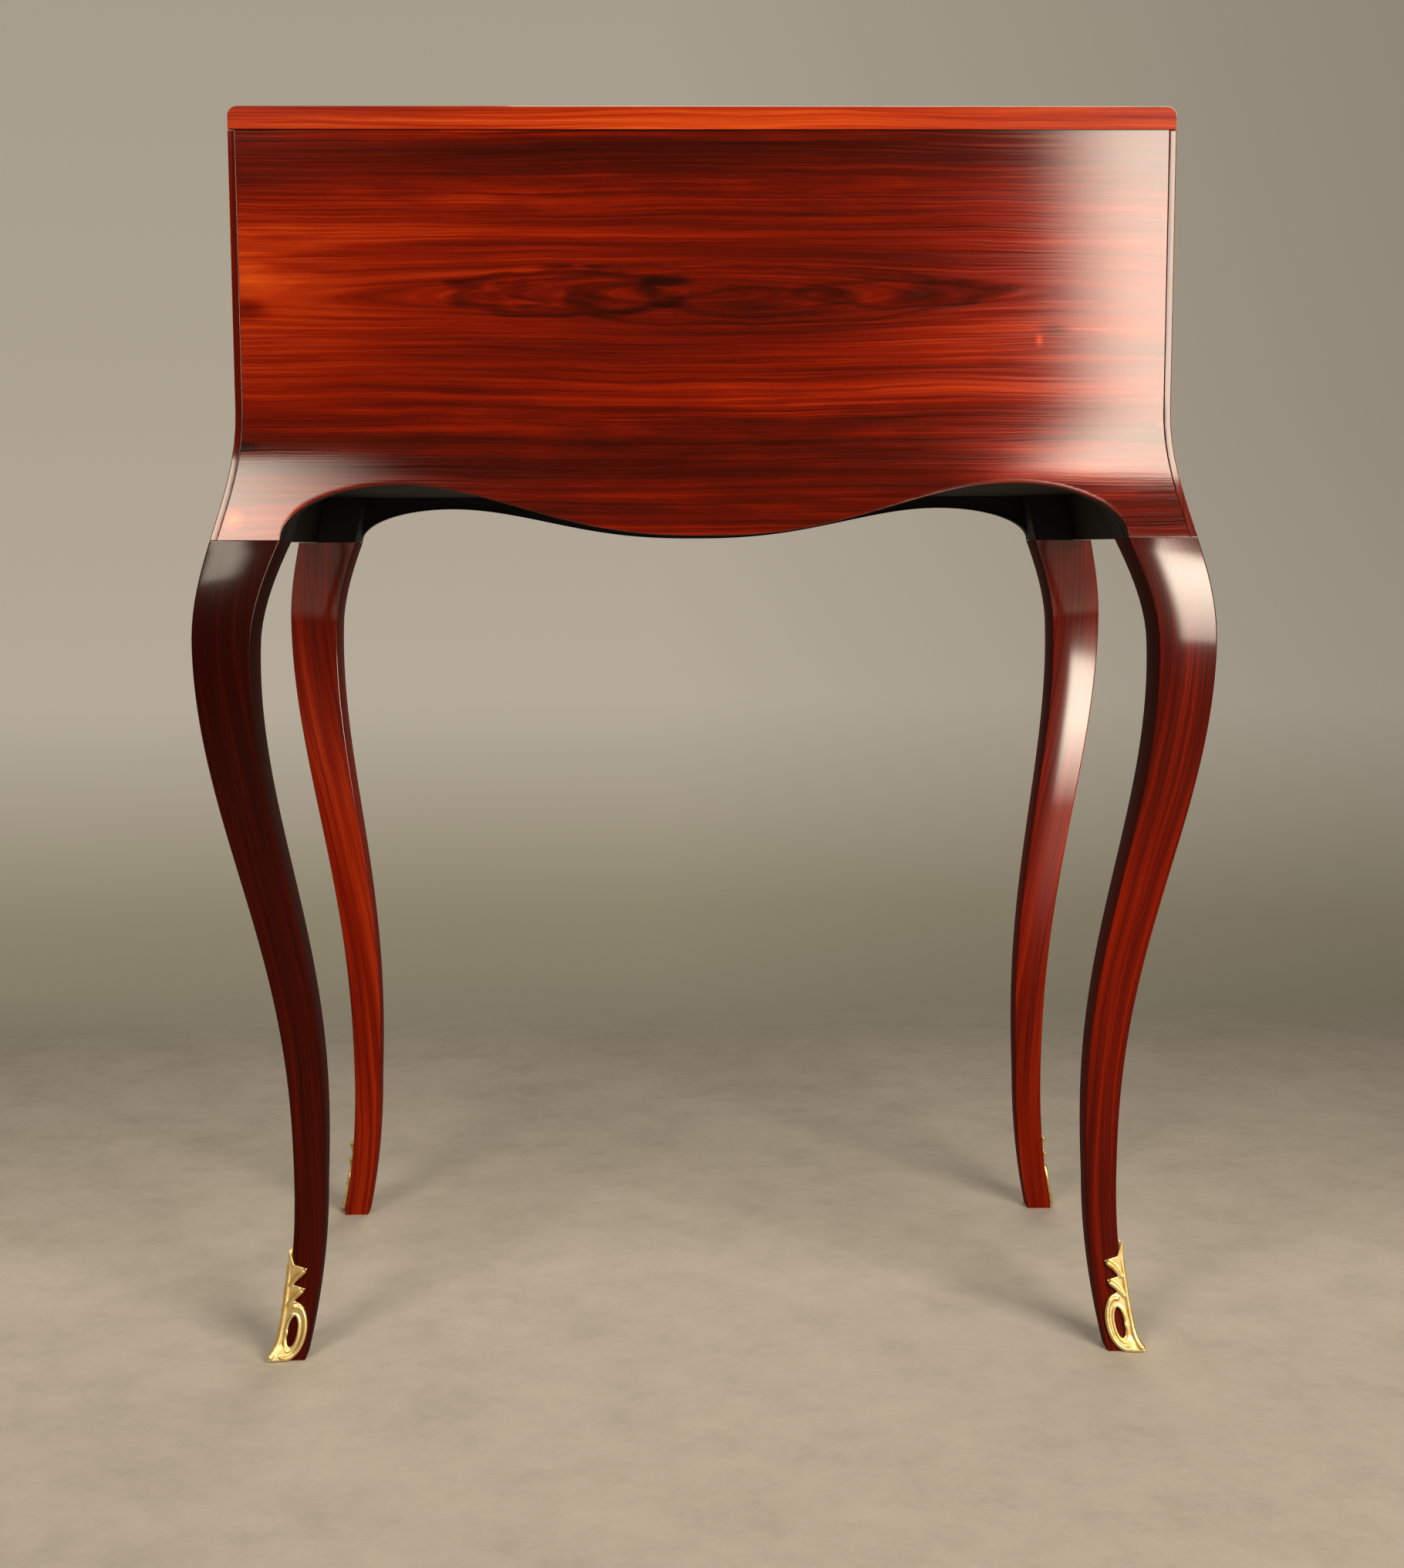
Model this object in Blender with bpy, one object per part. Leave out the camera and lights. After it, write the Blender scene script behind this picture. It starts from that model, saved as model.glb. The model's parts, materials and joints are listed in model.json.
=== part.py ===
"""Slant-front writing desk on cabriole legs, modelled as the separate pieces it comes apart into.

Metres, +Z up. The front faces -Y, and the origin is on the floor under the middle of the desk.
Left and right are those of someone sitting at the desk.
"""

import math

import bmesh
import bpy
from mathutils import Matrix, Vector

# Clearances: between glued or resting faces, and round pieces that slide or turn
GAP = 0.0003
RUN = 0.0005

# Two points closer than this are the same point
TOUCH = 1e-6

# Case: the box on the legs
CASE_WIDTH = 0.700
CASE_DEPTH = 0.405
PANEL = 0.016
CORNER_LIP = 0.0055
FLOOR_THICKNESS = 0.009
WELL_DEPTH = 0.053
BED_THICKNESS = 0.0124
INTERIOR_HEIGHT = 0.1847
TOP_THICKNESS = 0.0168
TOP_DEPTH = 0.220
TOP_END_ROUND = 0.007
TOP_END_STEPS = 4
FLARE_DROP = 0.020

# Shaped lower edges of the back panel and the front frieze
ARCH_RUN = 0.086
ARCH_RISE = 0.041
FRONT_ARCH_RISE = 0.0305
DROP_RISE = 0.0025
DROP_SKEW = 1.25
FLARE_STEPS = 8
DROP_STEPS = 9
ARCH_STEPS = 7

# Cabriole legs, square in section
SEAM_HEIGHT = 0.6416
SEAM_WIDTH = 0.052
KNEE_DROP = 0.0766
KNEE_WIDTH = 0.0435
KNEE_FLARE = 0.031
ANKLE_HEIGHT = 0.135
ANKLE_WIDTH = 0.0240
ANKLE_INSET = 0.0244
FOOT_WIDTH = 0.0225
TOE_INSET = 0.0096
LEG_ARRIS = 0.0015
LEG_SKEW = 1.2
BRACKET_SKEW = 1.3
LEG_STEPS = 26

# Gilt sabots on the outer corner of each foot, measured along a leg face from the corner
SABOT_HEIGHT = 0.0865
SABOT_THICKNESS = 0.0022
SABOT_TOE = 0.0045
SABOT_TOE_HEIGHT = 0.014
SCROLL_REACH = 0.0195
SCROLL_HEIGHT = 0.0440
SCROLL_WIDTH = 0.0070
SCROLL_END_WIDTH = 0.0098
SCROLL_CENTRE = 0.0086
SCROLL_START = math.radians(75)
SCROLL_END = math.radians(-82)
LOBES = 2
LOBE_REACH = 0.0135
LOBE_ROOT = 0.0060
LOBE_PITCH = 0.0155
LOBE_DROP = 0.0039
LOBE_CLIMB = 0.0031
LOBE_HOOK = 0.0052
LOBE_CURL = 0.0027
LOBE_NOTCH = 0.0093
SCROLL_STEPS = 10
PIERCED_STEPS = 12
SABOT_BENDS = 7

# Fall front, with a lip that closes over the edges of the case
FALL_THICKNESS = 0.018
FALL_LIP = 0.007
FALL_EDGE_ROUND = 0.003
FALL_EDGE_STEPS = 2
LEATHER_THICKNESS = 0.0012
LEATHER_SIDE_MARGIN = 0.040
LEATHER_HINGE_MARGIN = 0.032
LEATHER_LOCK_MARGIN = 0.006

# Fall hinges
HINGE_INSET = 0.130
HINGE_LENGTH = 0.046
KNUCKLE_LENGTH = 0.016
KNUCKLE_RADIUS = 0.0028
PIN_RADIUS = 0.0012
PIN_CLEARANCE = 0.00005
KNUCKLE_SIDES = 16
LEAF_WIDTH = 0.022
LEAF_THICKNESS = 0.0016

# Lock let into the head of the fall, its bolt, the key and the keyhole plate
LOCK_WIDTH = 0.048
LOCK_LENGTH = 0.034
LOCK_DEPTH = 0.0105
BOLT_WIDTH = 0.014
BOLT_THICKNESS = 0.004
BOLT_LENGTH = 0.0155
BOLT_FLOOR = 0.0035
BOLT_THROW = 0.012
KEY_SETBACK = 0.0245
KEY_RADIUS = 0.0021
KEY_SIDES = 12
KEY_REACH = 0.013
KEY_BIT_REACH = 0.0060
KEY_BIT_WIDTH = 0.0018
KEY_BIT_LENGTH = 0.0045
KEY_BOW_WIDTH = 0.022
KEY_BOW_HEIGHT = 0.017
KEY_BOW_THICKNESS = 0.0032
KEY_BOW_STEPS = 16
KEY_BOW_SIDES = 6
WARD_SIDES = 24
KEYHOLE_CLEARANCE = 0.0004
PLATE_WIDTH = 0.026
PLATE_HEIGHT = 0.044
PLATE_THICKNESS = 0.0014
PLATE_LOBES = 4
PLATE_SCALLOP = 0.10
PLATE_RIPPLE = 0.05
PLATE_STEPS = 32

# Lopers: the slides that carry the open fall
LOPER_WIDTH = 0.018
LOPER_LENGTH = 0.330
RUNNER_THICKNESS = 0.0103
CHEEK_THICKNESS = 0.008
GUIDE_LENGTH = 0.345
LOPER_TRAVEL = 0.230
LOPER_EDGE_STEPS = 6
STOP_RADIUS = 0.003
STOP_SIDES = 12
STOP_SETBACK = 0.014
STOP_SEAT = 0.012
STOP_REACH = 0.006

# Well under the bed, with its sliding lid
WELL_WIDTH = 0.240
WELL_SETBACK = 0.062
WELL_LEDGE = 0.006
WELL_BACK_MARGIN = 0.026
LID_LENGTH = 0.165
LID_THICKNESS = 0.008
FINGER_WIDTH = 0.030
FINGER_DEPTH = 0.0035
FINGER_SETBACK = 0.022
FINGER_LENGTH = 0.0146
FINGER_STEPS = 64

# Pigeonhole unit and its drawers
UNIT_DEPTH = 0.136
UNIT_BOARD = 0.006
UNIT_RAIL = 0.005
CENTRE_WIDTH = 0.250
LETTER_WIDTH = 0.222
LETTER_BOARD = 0.005
LETTER_SWEEP = 0.034
LETTER_STEPS = 8
DRAWER_OPENING = 0.0443
DRAWER_LENGTH = 0.125
DRAWER_FRONT = 0.008
DRAWER_SIDE = 0.005
DRAWER_FLOOR = 0.004
DRAWER_SETBACK = 0.001

# Turned brass knobs
KNOB_RADIUS = 0.0058
KNOB_SEAT_RADIUS = 0.0046
KNOB_SEAT = 0.0015
KNOB_NECK_RADIUS = 0.0026
KNOB_NECK_START = 0.0035
KNOB_NECK_END = 0.0053
KNOB_WIDEST = 0.0083
KNOB_SHOULDER = 0.0106
KNOB_SHOULDER_RADIUS = 0.0052
KNOB_LENGTH = 0.0125
KNOB_TIP_RADIUS = 0.0029
KNOB_SIDES = 12

# Heights and places that follow from the sizes above
KNEE_HEIGHT = SEAM_HEIGHT - KNEE_DROP
FLOOR_HEIGHT = SEAM_HEIGHT + ARCH_RISE
FLOOR_TOP = FLOOR_HEIGHT + FLOOR_THICKNESS
BED_UNDERSIDE = FLOOR_TOP + WELL_DEPTH
BED_HEIGHT = BED_UNDERSIDE + BED_THICKNESS
FLARE_TOP = BED_HEIGHT - FLARE_DROP
TOP_UNDERSIDE = BED_HEIGHT + INTERIOR_HEIGHT
TOTAL_HEIGHT = TOP_UNDERSIDE + TOP_THICKNESS
HALF_WIDTH = CASE_WIDTH / 2
HALF_DEPTH = CASE_DEPTH / 2
INNER_X = HALF_WIDTH - PANEL
INNER_BACK = HALF_DEPTH - PANEL - GAP

# The fall turns about the front edge of the bed and leans back at this angle when shut
FALL_REBATE = FALL_THICKNESS - FALL_LIP
FALL_ANGLE = math.atan2(INTERIOR_HEIGHT, CASE_DEPTH - TOP_DEPTH)
FALL_BODY_END = (INTERIOR_HEIGHT - RUN - FALL_REBATE * math.cos(FALL_ANGLE)) / math.sin(FALL_ANGLE)
LOCK_FOOT = FALL_BODY_END - LOCK_LENGTH
KEY_PLACE = FALL_BODY_END - KEY_SETBACK

# Lopers slide just inside the posts of the front legs
LOPER_OUTER = HALF_WIDTH - SEAM_WIDTH - RUN
LOPER_INNER = LOPER_OUTER - LOPER_WIDTH
LOPER_BOTTOM = FLOOR_TOP + GAP + RUNNER_THICKNESS + RUN
LOPER_TOP = BED_HEIGHT - FALL_THICKNESS - RUN

# Pigeonhole unit, built up from the bed
UNIT_FRONT = INNER_BACK - UNIT_DEPTH
UNIT_BASE_TOP = BED_HEIGHT + GAP + UNIT_BOARD
SHELF_UNDERSIDE = UNIT_BASE_TOP + 2 * DRAWER_OPENING + UNIT_RAIL
SHELF_TOP = SHELF_UNDERSIDE + UNIT_BOARD

SIDES = {"left": -1, "right": 1}
ENDS = {"front": -1, "back": 1}


# Colours and finishes


def finish(name, colour, roughness, metallic=0.0):
    """A Principled BSDF material."""
    material = bpy.data.materials.new(name)
    material.use_nodes = True
    shader = material.node_tree.nodes["Principled BSDF"]
    shader.inputs["Base Color"].default_value = (*colour, 1.0)
    shader.inputs["Roughness"].default_value = roughness
    shader.inputs["Metallic"].default_value = metallic
    return material


def make_finishes():
    return {
        "rosewood": finish("polished_rosewood", (0.21, 0.030, 0.010), 0.22),
        "carcass": finish("stained_carcass_wood", (0.055, 0.040, 0.028), 0.7),
        "interior": finish("interior_wood", (0.30, 0.10, 0.035), 0.4),
        "gilt": finish("gilt_bronze", (0.80, 0.58, 0.26), 0.32, 1.0),
        "brass": finish("brass", (0.72, 0.53, 0.24), 0.3, 1.0),
        "steel": finish("steel", (0.45, 0.44, 0.42), 0.35, 1.0),
        "leather": finish("tooled_leather", (0.045, 0.075, 0.035), 0.5),
    }


# Modelling helpers


def add_object(name, bm, material, parent=None, location=(0, 0, 0)):
    """Turns a bmesh into a named object, with its faces pointing out."""
    bmesh.ops.remove_doubles(bm, verts=bm.verts, dist=TOUCH)
    bmesh.ops.recalc_face_normals(bm, faces=bm.faces)
    mesh = bpy.data.meshes.new(name)
    bm.to_mesh(mesh)
    bm.free()
    mesh.materials.append(material)
    obj = bpy.data.objects.new(name, mesh)
    bpy.context.collection.objects.link(obj)
    obj.parent = parent
    obj.location = location
    return obj


def loft(rings):
    """A closed solid through rings of points, all with the same count, capped at both ends."""
    bm = bmesh.new()
    rows = [[bm.verts.new(point) for point in ring] for ring in rings]
    for lower, upper in zip(rows, rows[1:]):
        for i in range(len(lower)):
            j = (i + 1) % len(lower)
            bm.faces.new((lower[i], lower[j], upper[j], upper[i]))
    bm.faces.new(rows[0])
    bm.faces.new(rows[-1])
    return bm


def prism(outline, axis, low, high):
    """A flat outline drawn out along an axis; its points hold the other two coordinates in order."""
    place = {
        "X": lambda point, along: (along, point[0], point[1]),
        "Y": lambda point, along: (point[0], along, point[1]),
        "Z": lambda point, along: (point[0], point[1], along),
    }[axis]
    return loft([[place(point, along) for point in outline] for along in (low, high)])


def box(low, high):
    outline = [(low[0], low[1]), (high[0], low[1]), (high[0], high[1]), (low[0], high[1])]
    return prism(outline, "Z", low[2], high[2])


def circle(radius, sides, centre=(0.0, 0.0)):
    turns = [math.tau * (i + 0.5) / sides for i in range(sides)]
    return [(centre[0] + radius * math.cos(a), centre[1] + radius * math.sin(a)) for a in turns]


def turned(profile, sides):
    """A turned shape about +Z through (radius, height) points."""
    return loft([[(*point, height) for point in circle(radius, sides)] for radius, height in profile])


def along_x(radius, sides, low, high):
    return prism(circle(radius, sides), "X", low, high)


def slice_off(bm, point, normal):
    """Saws off what lies beyond a plane and closes the cut."""
    parts = bm.verts[:] + bm.edges[:] + bm.faces[:]
    cut = bmesh.ops.bisect_plane(bm, geom=parts, plane_co=point, plane_no=normal, clear_outer=True)
    edges = [item for item in cut["geom_cut"] if isinstance(item, bmesh.types.BMEdge)]
    bmesh.ops.contextual_create(bm, geom=edges)


def combine(obj, other, operation):
    """Adds a Boolean, and keeps its other solid as a helper that isn't a piece of the desk."""
    other.hide_render = True
    other.display_type = "WIRE"
    modifier = obj.modifiers.new(other.name, "BOOLEAN")
    modifier.operation = operation
    modifier.solver = "EXACT"
    modifier.object = other


def cut(obj, name, bm, parent=None, location=(0, 0, 0)):
    cutter = add_object(f"cut_{obj.name}_{name}", bm, obj.data.materials[0], parent, location)
    combine(obj, cutter, "DIFFERENCE")


def join(obj, name, bm, parent=None, location=(0, 0, 0)):
    added = add_object(f"join_{obj.name}_{name}", bm, obj.data.materials[0], parent, location)
    combine(obj, added, "UNION")


def smooth(obj, angle=math.radians(35)):
    obj.data.shade_smooth()
    obj.data.set_sharp_from_angle(angle=angle)


def span(low, high, steps):
    return [low + (high - low) * i / steps for i in range(steps + 1)]


# The curve that the legs and the lower part of the case share


def swell(share, skew=1.0):
    """A smooth rise from 0 to 1 in half a cosine wave, which a skew above 1 delays."""
    return (1 - math.cos(math.pi * share**skew)) / 2


def flare(z):
    """How far the outer faces stand out from the upright walls of the case at height z."""
    if z <= ANKLE_HEIGHT:
        return -ANKLE_INSET + (ANKLE_INSET - TOE_INSET) * (1 - z / ANKLE_HEIGHT) ** 2
    if z <= KNEE_HEIGHT:
        share = (z - ANKLE_HEIGHT) / (KNEE_HEIGHT - ANKLE_HEIGHT)
        return -ANKLE_INSET + (ANKLE_INSET + KNEE_FLARE) * swell(share, LEG_SKEW)
    if z <= FLARE_TOP:
        return KNEE_FLARE * (1 - swell((z - KNEE_HEIGHT) / (FLARE_TOP - KNEE_HEIGHT)))
    return 0.0


def leg_width(z):
    """The side of the leg's square section at height z; above the seam it is that of the post."""
    if z <= ANKLE_HEIGHT:
        return FOOT_WIDTH + (ANKLE_WIDTH - FOOT_WIDTH) * z / ANKLE_HEIGHT
    if z <= KNEE_HEIGHT:
        share = (z - ANKLE_HEIGHT) / (KNEE_HEIGHT - ANKLE_HEIGHT)
        return ANKLE_WIDTH + (KNEE_WIDTH - ANKLE_WIDTH) * share
    share = min((z - KNEE_HEIGHT) / (SEAM_HEIGHT - KNEE_HEIGHT), 1.0)
    return KNEE_WIDTH + (SEAM_WIDTH - KNEE_WIDTH) * share**BRACKET_SKEW


# Heights of the rings through the flared part of the case, from the seam on the legs up
FLARE_LEVELS = span(SEAM_HEIGHT, FLARE_TOP, FLARE_STEPS)
LEG_INNER_X = HALF_WIDTH + flare(SEAM_HEIGHT) - SEAM_WIDTH
ARCH_PLACE = LEG_INNER_X - ARCH_RUN


# Legs and sabots


def leg_ring(z, recess, side, end):
    """A square ring with its corners taken off, set back by the recess on the two outer faces."""
    out_x = HALF_WIDTH + flare(z) - recess
    out_y = HALF_DEPTH + flare(z) - recess
    in_x = HALF_WIDTH + flare(z) - leg_width(z)
    in_y = HALF_DEPTH + flare(z) - leg_width(z)
    arris = LEG_ARRIS
    ring = [
        (out_x, in_y + arris),
        (out_x, out_y - arris),
        (out_x - arris, out_y),
        (in_x + arris, out_y),
        (in_x, out_y - arris),
        (in_x, in_y + arris),
        (in_x + arris, in_y),
        (out_x - arris, in_y),
    ]
    return [(side * x, end * y, z) for x, y in ring]


def make_leg(name, side, end, material):
    """A cabriole leg that goes on up as a post behind the panels, which sit on its shoulder."""
    rings = [leg_ring(z, 0.0, side, end) for z in span(0.0, SEAM_HEIGHT, LEG_STEPS)]
    levels = FLARE_LEVELS + [BED_UNDERSIDE - GAP]
    rings += [leg_ring(z, PANEL + GAP, side, end) for z in levels]
    smooth(add_object(name, loft(rings), material))


def sabot_outline():
    """Half of the opened-out sabot: (distance from the corner, height), from the tip down."""
    points = [(0.0, SABOT_HEIGHT)]
    for lobe in range(LOBES):
        tip = SCROLL_HEIGHT + LOBE_PITCH * (LOBES - lobe) - LOBE_DROP
        points.append((LOBE_ROOT / 2, tip + LOBE_CLIMB))
        points.append((LOBE_REACH, tip))
        points.append((LOBE_REACH - LOBE_CURL, tip - LOBE_HOOK))
        points.append((LOBE_ROOT, tip - LOBE_NOTCH))
    centre, radii = scroll_ellipse()
    for turn in span(SCROLL_START, SCROLL_END, SCROLL_STEPS):
        points.append((centre[0] + radii[0] * math.cos(turn), centre[1] + radii[1] * math.sin(turn)))
    points.append((0.0, centre[1] - radii[1]))
    return points


def scroll_ellipse():
    """Centre and radii of the C-scroll at the foot of the sabot."""
    centre = (SCROLL_CENTRE, SCROLL_HEIGHT / 2 + GAP)
    return centre, (SCROLL_REACH - centre[0], SCROLL_HEIGHT / 2)


def sabot_sheet():
    """The sabot opened out flat: both wings as one sheet with a pierced scroll in each."""
    bm = bmesh.new()
    half = sabot_outline()
    loops = [half + [(-u, z) for u, z in half[-2:0:-1]]]
    centre, radii = scroll_ellipse()
    pierced = (radii[0] - SCROLL_WIDTH, radii[1] - SCROLL_END_WIDTH)
    for wing in SIDES.values():
        turns = span(0.0, math.tau, PIERCED_STEPS)[:-1]
        loops.append(
            [
                (wing * (centre[0] + pierced[0] * math.cos(a)), centre[1] + pierced[1] * math.sin(a))
                for a in turns
            ]
        )
    for loop in loops:
        verts = [bm.verts.new((u, 0.0, z)) for u, z in loop]
        for i in range(len(verts)):
            bm.edges.new((verts[i - 1], verts[i]))
    bmesh.ops.triangle_fill(bm, edges=bm.edges[:], use_beauty=True)
    cuts = [((0, 0, 0), (1, 0, 0))]
    cuts += [((0, 0, z), (0, 0, 1)) for z in span(0.0, SABOT_HEIGHT, SABOT_BENDS)[1:-1]]
    for point, normal in cuts:
        parts = bm.verts[:] + bm.edges[:] + bm.faces[:]
        bmesh.ops.bisect_plane(bm, geom=parts, plane_co=point, plane_no=normal, dist=TOUCH)
    return bm


def make_sabot(name, side, end, material):
    """The sheet folded round the outer corner of the foot, with its toe drawn out, then thickened."""
    bm = sabot_sheet()
    for vert in bm.verts:
        u, z = vert.co.x, vert.co.z
        low = max(0.0, 1 - z / SABOT_TOE_HEIGHT)
        near = max(0.0, 1 - abs(u) / SCROLL_REACH)
        out = flare(z) + GAP + SABOT_TOE * low**2 * near
        x = HALF_WIDTH + out - max(u, 0.0)
        y = HALF_DEPTH + out - max(-u, 0.0)
        vert.co = (side * x, end * y, z)
    bmesh.ops.recalc_face_normals(bm, faces=bm.faces)
    bm.normal_update()
    corner = Vector((side, end, 0.0))
    if sum(face.normal.dot(corner) for face in bm.faces) < 0:
        bmesh.ops.reverse_faces(bm, faces=bm.faces)
    mesh = bpy.data.meshes.new(name)
    bm.to_mesh(mesh)
    bm.free()
    mesh.materials.append(material)
    obj = bpy.data.objects.new(name, mesh)
    bpy.context.collection.objects.link(obj)
    wall = obj.modifiers.new("thickness", "SOLIDIFY")
    wall.thickness = SABOT_THICKNESS
    wall.offset = 1.0
    wall.use_even_offset = True


# Case panels


def arch_columns(rise):
    """Places along half of a shaped panel, from the middle out, with the height of its lower edge.

    The last place is None: the panel's own edge, which leans out with the flare.
    """
    low = SEAM_HEIGHT + GAP
    columns = []
    for x in span(0.0, ARCH_PLACE, DROP_STEPS):
        climb = swell(x / ARCH_PLACE, DROP_SKEW)
        columns.append((x, low + DROP_RISE + (rise - DROP_RISE) * climb))
    for turn in span(0.0, math.pi / 2, ARCH_STEPS)[1:]:
        columns.append((ARCH_PLACE + ARCH_RUN * math.sin(turn), low + rise * math.cos(turn)))
    columns.append((None, low))
    return columns


def make_shaped_panel(name, end, rise, edge_inset, top, material):
    """A wall with a double-arched lower edge, flared to meet the legs: back panel or front frieze."""
    half = arch_columns(rise)
    columns = [(-1, x, low) for x, low in half[:0:-1]] + [(1, x, low) for x, low in half]
    faces = {"outer": 0.0, "inner": PANEL}
    rows = {key: [] for key in faces}
    for side, x, low in columns:
        levels = span(low, FLARE_TOP, FLARE_STEPS) + [top]
        for key, depth in faces.items():
            line = []
            for z in levels:
                along = HALF_WIDTH + flare(z) - edge_inset if x is None else x
                line.append((side * along, end * (HALF_DEPTH + flare(z) - depth), z))
            rows[key].append(line)
    rings = [outer + inner[::-1] for outer, inner in zip(rows["outer"], rows["inner"])]
    bm = loft_of_strips(rings)
    return add_object(name, bm, material)


def loft_of_strips(rings):
    """A loft whose two end rings are closed with quads instead of one many-sided face."""
    bm = loft(rings)
    bm.faces.ensure_lookup_table()
    ends = list(bm.faces)[-2:]
    for face in ends:
        verts = list(face.verts)
        bm.faces.remove(face)
        half = len(verts) // 2
        for i in range(half - 1):
            bm.faces.new((verts[i], verts[i + 1], verts[-2 - i], verts[-1 - i]))
    return bm


def fall_point(along, out):
    """World (y, z) of a point given along the slope from the hinge line, and out from its inner face."""
    y = -HALF_DEPTH + along * math.cos(FALL_ANGLE) - out * math.sin(FALL_ANGLE)
    z = BED_HEIGHT + along * math.sin(FALL_ANGLE) + out * math.cos(FALL_ANGLE)
    return y, z


def make_side_panel(name, side, material):
    """An end of the case: flared below, sloped in front, and rebated behind to take the back panel."""
    rings = []
    for z in [SEAM_HEIGHT + GAP] + FLARE_LEVELS[1:] + [TOP_UNDERSIDE - GAP]:
        out_x = HALF_WIDTH + flare(z)
        out_y = HALF_DEPTH + flare(z)
        step_y = out_y - PANEL - GAP
        ring = [
            (out_x, -out_y),
            (out_x, out_y),
            (out_x - CORNER_LIP, out_y),
            (out_x - CORNER_LIP, step_y),
            (out_x - PANEL, step_y),
            (out_x - PANEL, -out_y),
        ]
        rings.append([(side * x, y, z) for x, y in ring])
    bm = loft(rings)
    y, z = fall_point(0.0, FALL_REBATE - GAP)
    slice_off(bm, (0, y, z), (0, -math.sin(FALL_ANGLE), math.cos(FALL_ANGLE)))
    add_object(name, bm, material)


def make_top_board(material, fall_pivot):
    """The board behind the fall: its ends rounded over, its front edge sloped, mortised for the bolt."""
    front = [fall_point(0.0, FALL_REBATE - GAP), fall_point(1.0, FALL_REBATE - GAP)]
    slope = (front[1][0] - front[0][0]) / (front[1][1] - front[0][1])
    front_y = [front[0][0] + slope * (z - front[0][1]) for z in (TOP_UNDERSIDE, TOTAL_HEIGHT)]
    outline = [
        (front_y[0], TOP_UNDERSIDE),
        (HALF_DEPTH, TOP_UNDERSIDE),
        (HALF_DEPTH, TOTAL_HEIGHT),
        (front_y[1], TOTAL_HEIGHT),
    ]
    bm = prism(outline, "X", -HALF_WIDTH, HALF_WIDTH)
    ends = [
        edge
        for edge in bm.edges
        if all(abs(v.co.z - TOTAL_HEIGHT) < TOUCH for v in edge.verts)
        and abs(edge.verts[0].co.x - edge.verts[1].co.x) < TOUCH
    ]
    bmesh.ops.bevel(
        bm, geom=ends, offset=TOP_END_ROUND, segments=TOP_END_STEPS, profile=0.5, affect="EDGES"
    )
    top = add_object("top_board", bm, material)
    low = (-BOLT_WIDTH / 2 - RUN, FALL_BODY_END, BOLT_FLOOR - RUN)
    high = (BOLT_WIDTH / 2 + RUN, FALL_BODY_END + BOLT_THROW + RUN, BOLT_FLOOR + BOLT_THICKNESS + RUN)
    cut(top, "bolt_mortise", box(low, high), fall_pivot)


def make_floor(material):
    """The bottom of the case, notched round the four posts."""
    rings = []
    for z in (FLOOR_HEIGHT, FLOOR_TOP):
        out_x = HALF_WIDTH + flare(FLOOR_TOP) - PANEL - GAP
        out_y = HALF_DEPTH + flare(FLOOR_TOP) - PANEL - GAP
        post_x = HALF_WIDTH + flare(FLOOR_TOP) - SEAM_WIDTH - GAP
        post_y = HALF_DEPTH + flare(FLOOR_TOP) - SEAM_WIDTH - GAP
        ring = []
        for sx, sy, x_first in ((1, -1, False), (1, 1, True), (-1, 1, False), (-1, -1, True)):
            corner = [(post_x, out_y), (post_x, post_y), (out_x, post_y)]
            ring += [(sx * x, sy * y, z) for x, y in (corner[::-1] if x_first else corner)]
        rings.append(ring)
    add_object("case_floor", loft(rings), material)


def make_frieze(material):
    """The front rail under the fall, with an opening for each loper."""
    top = BED_UNDERSIDE - GAP
    frieze = make_shaped_panel("front_frieze", -1, FRONT_ARCH_RISE, PANEL + GAP, top, material)
    for name, side in SIDES.items():
        low = (side * LOPER_OUTER, side * LOPER_INNER)
        opening = box(
            (min(low) - RUN, -HALF_DEPTH - 2 * KNEE_FLARE, LOPER_BOTTOM - RUN),
            (max(low) + RUN, -HALF_DEPTH + 2 * PANEL, LOPER_TOP + RUN),
        )
        cut(frieze, f"loper_{name}", opening)


def make_case(finishes, fall_pivot):
    wood = finishes["rosewood"]
    for end_name, end in ENDS.items():
        for side_name, side in SIDES.items():
            make_leg(f"leg_{end_name}_{side_name}", side, end, wood)
            make_sabot(f"sabot_{end_name}_{side_name}", side, end, finishes["gilt"])
    top = TOP_UNDERSIDE - GAP
    make_shaped_panel("back_panel", 1, ARCH_RISE, CORNER_LIP + GAP, top, wood)
    for side_name, side in SIDES.items():
        make_side_panel(f"side_panel_{side_name}", side, wood)
    make_frieze(wood)
    make_floor(finishes["carcass"])
    make_top_board(wood, fall_pivot)


# Bed of the desk, the well under it and the well's sliding lid


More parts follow.
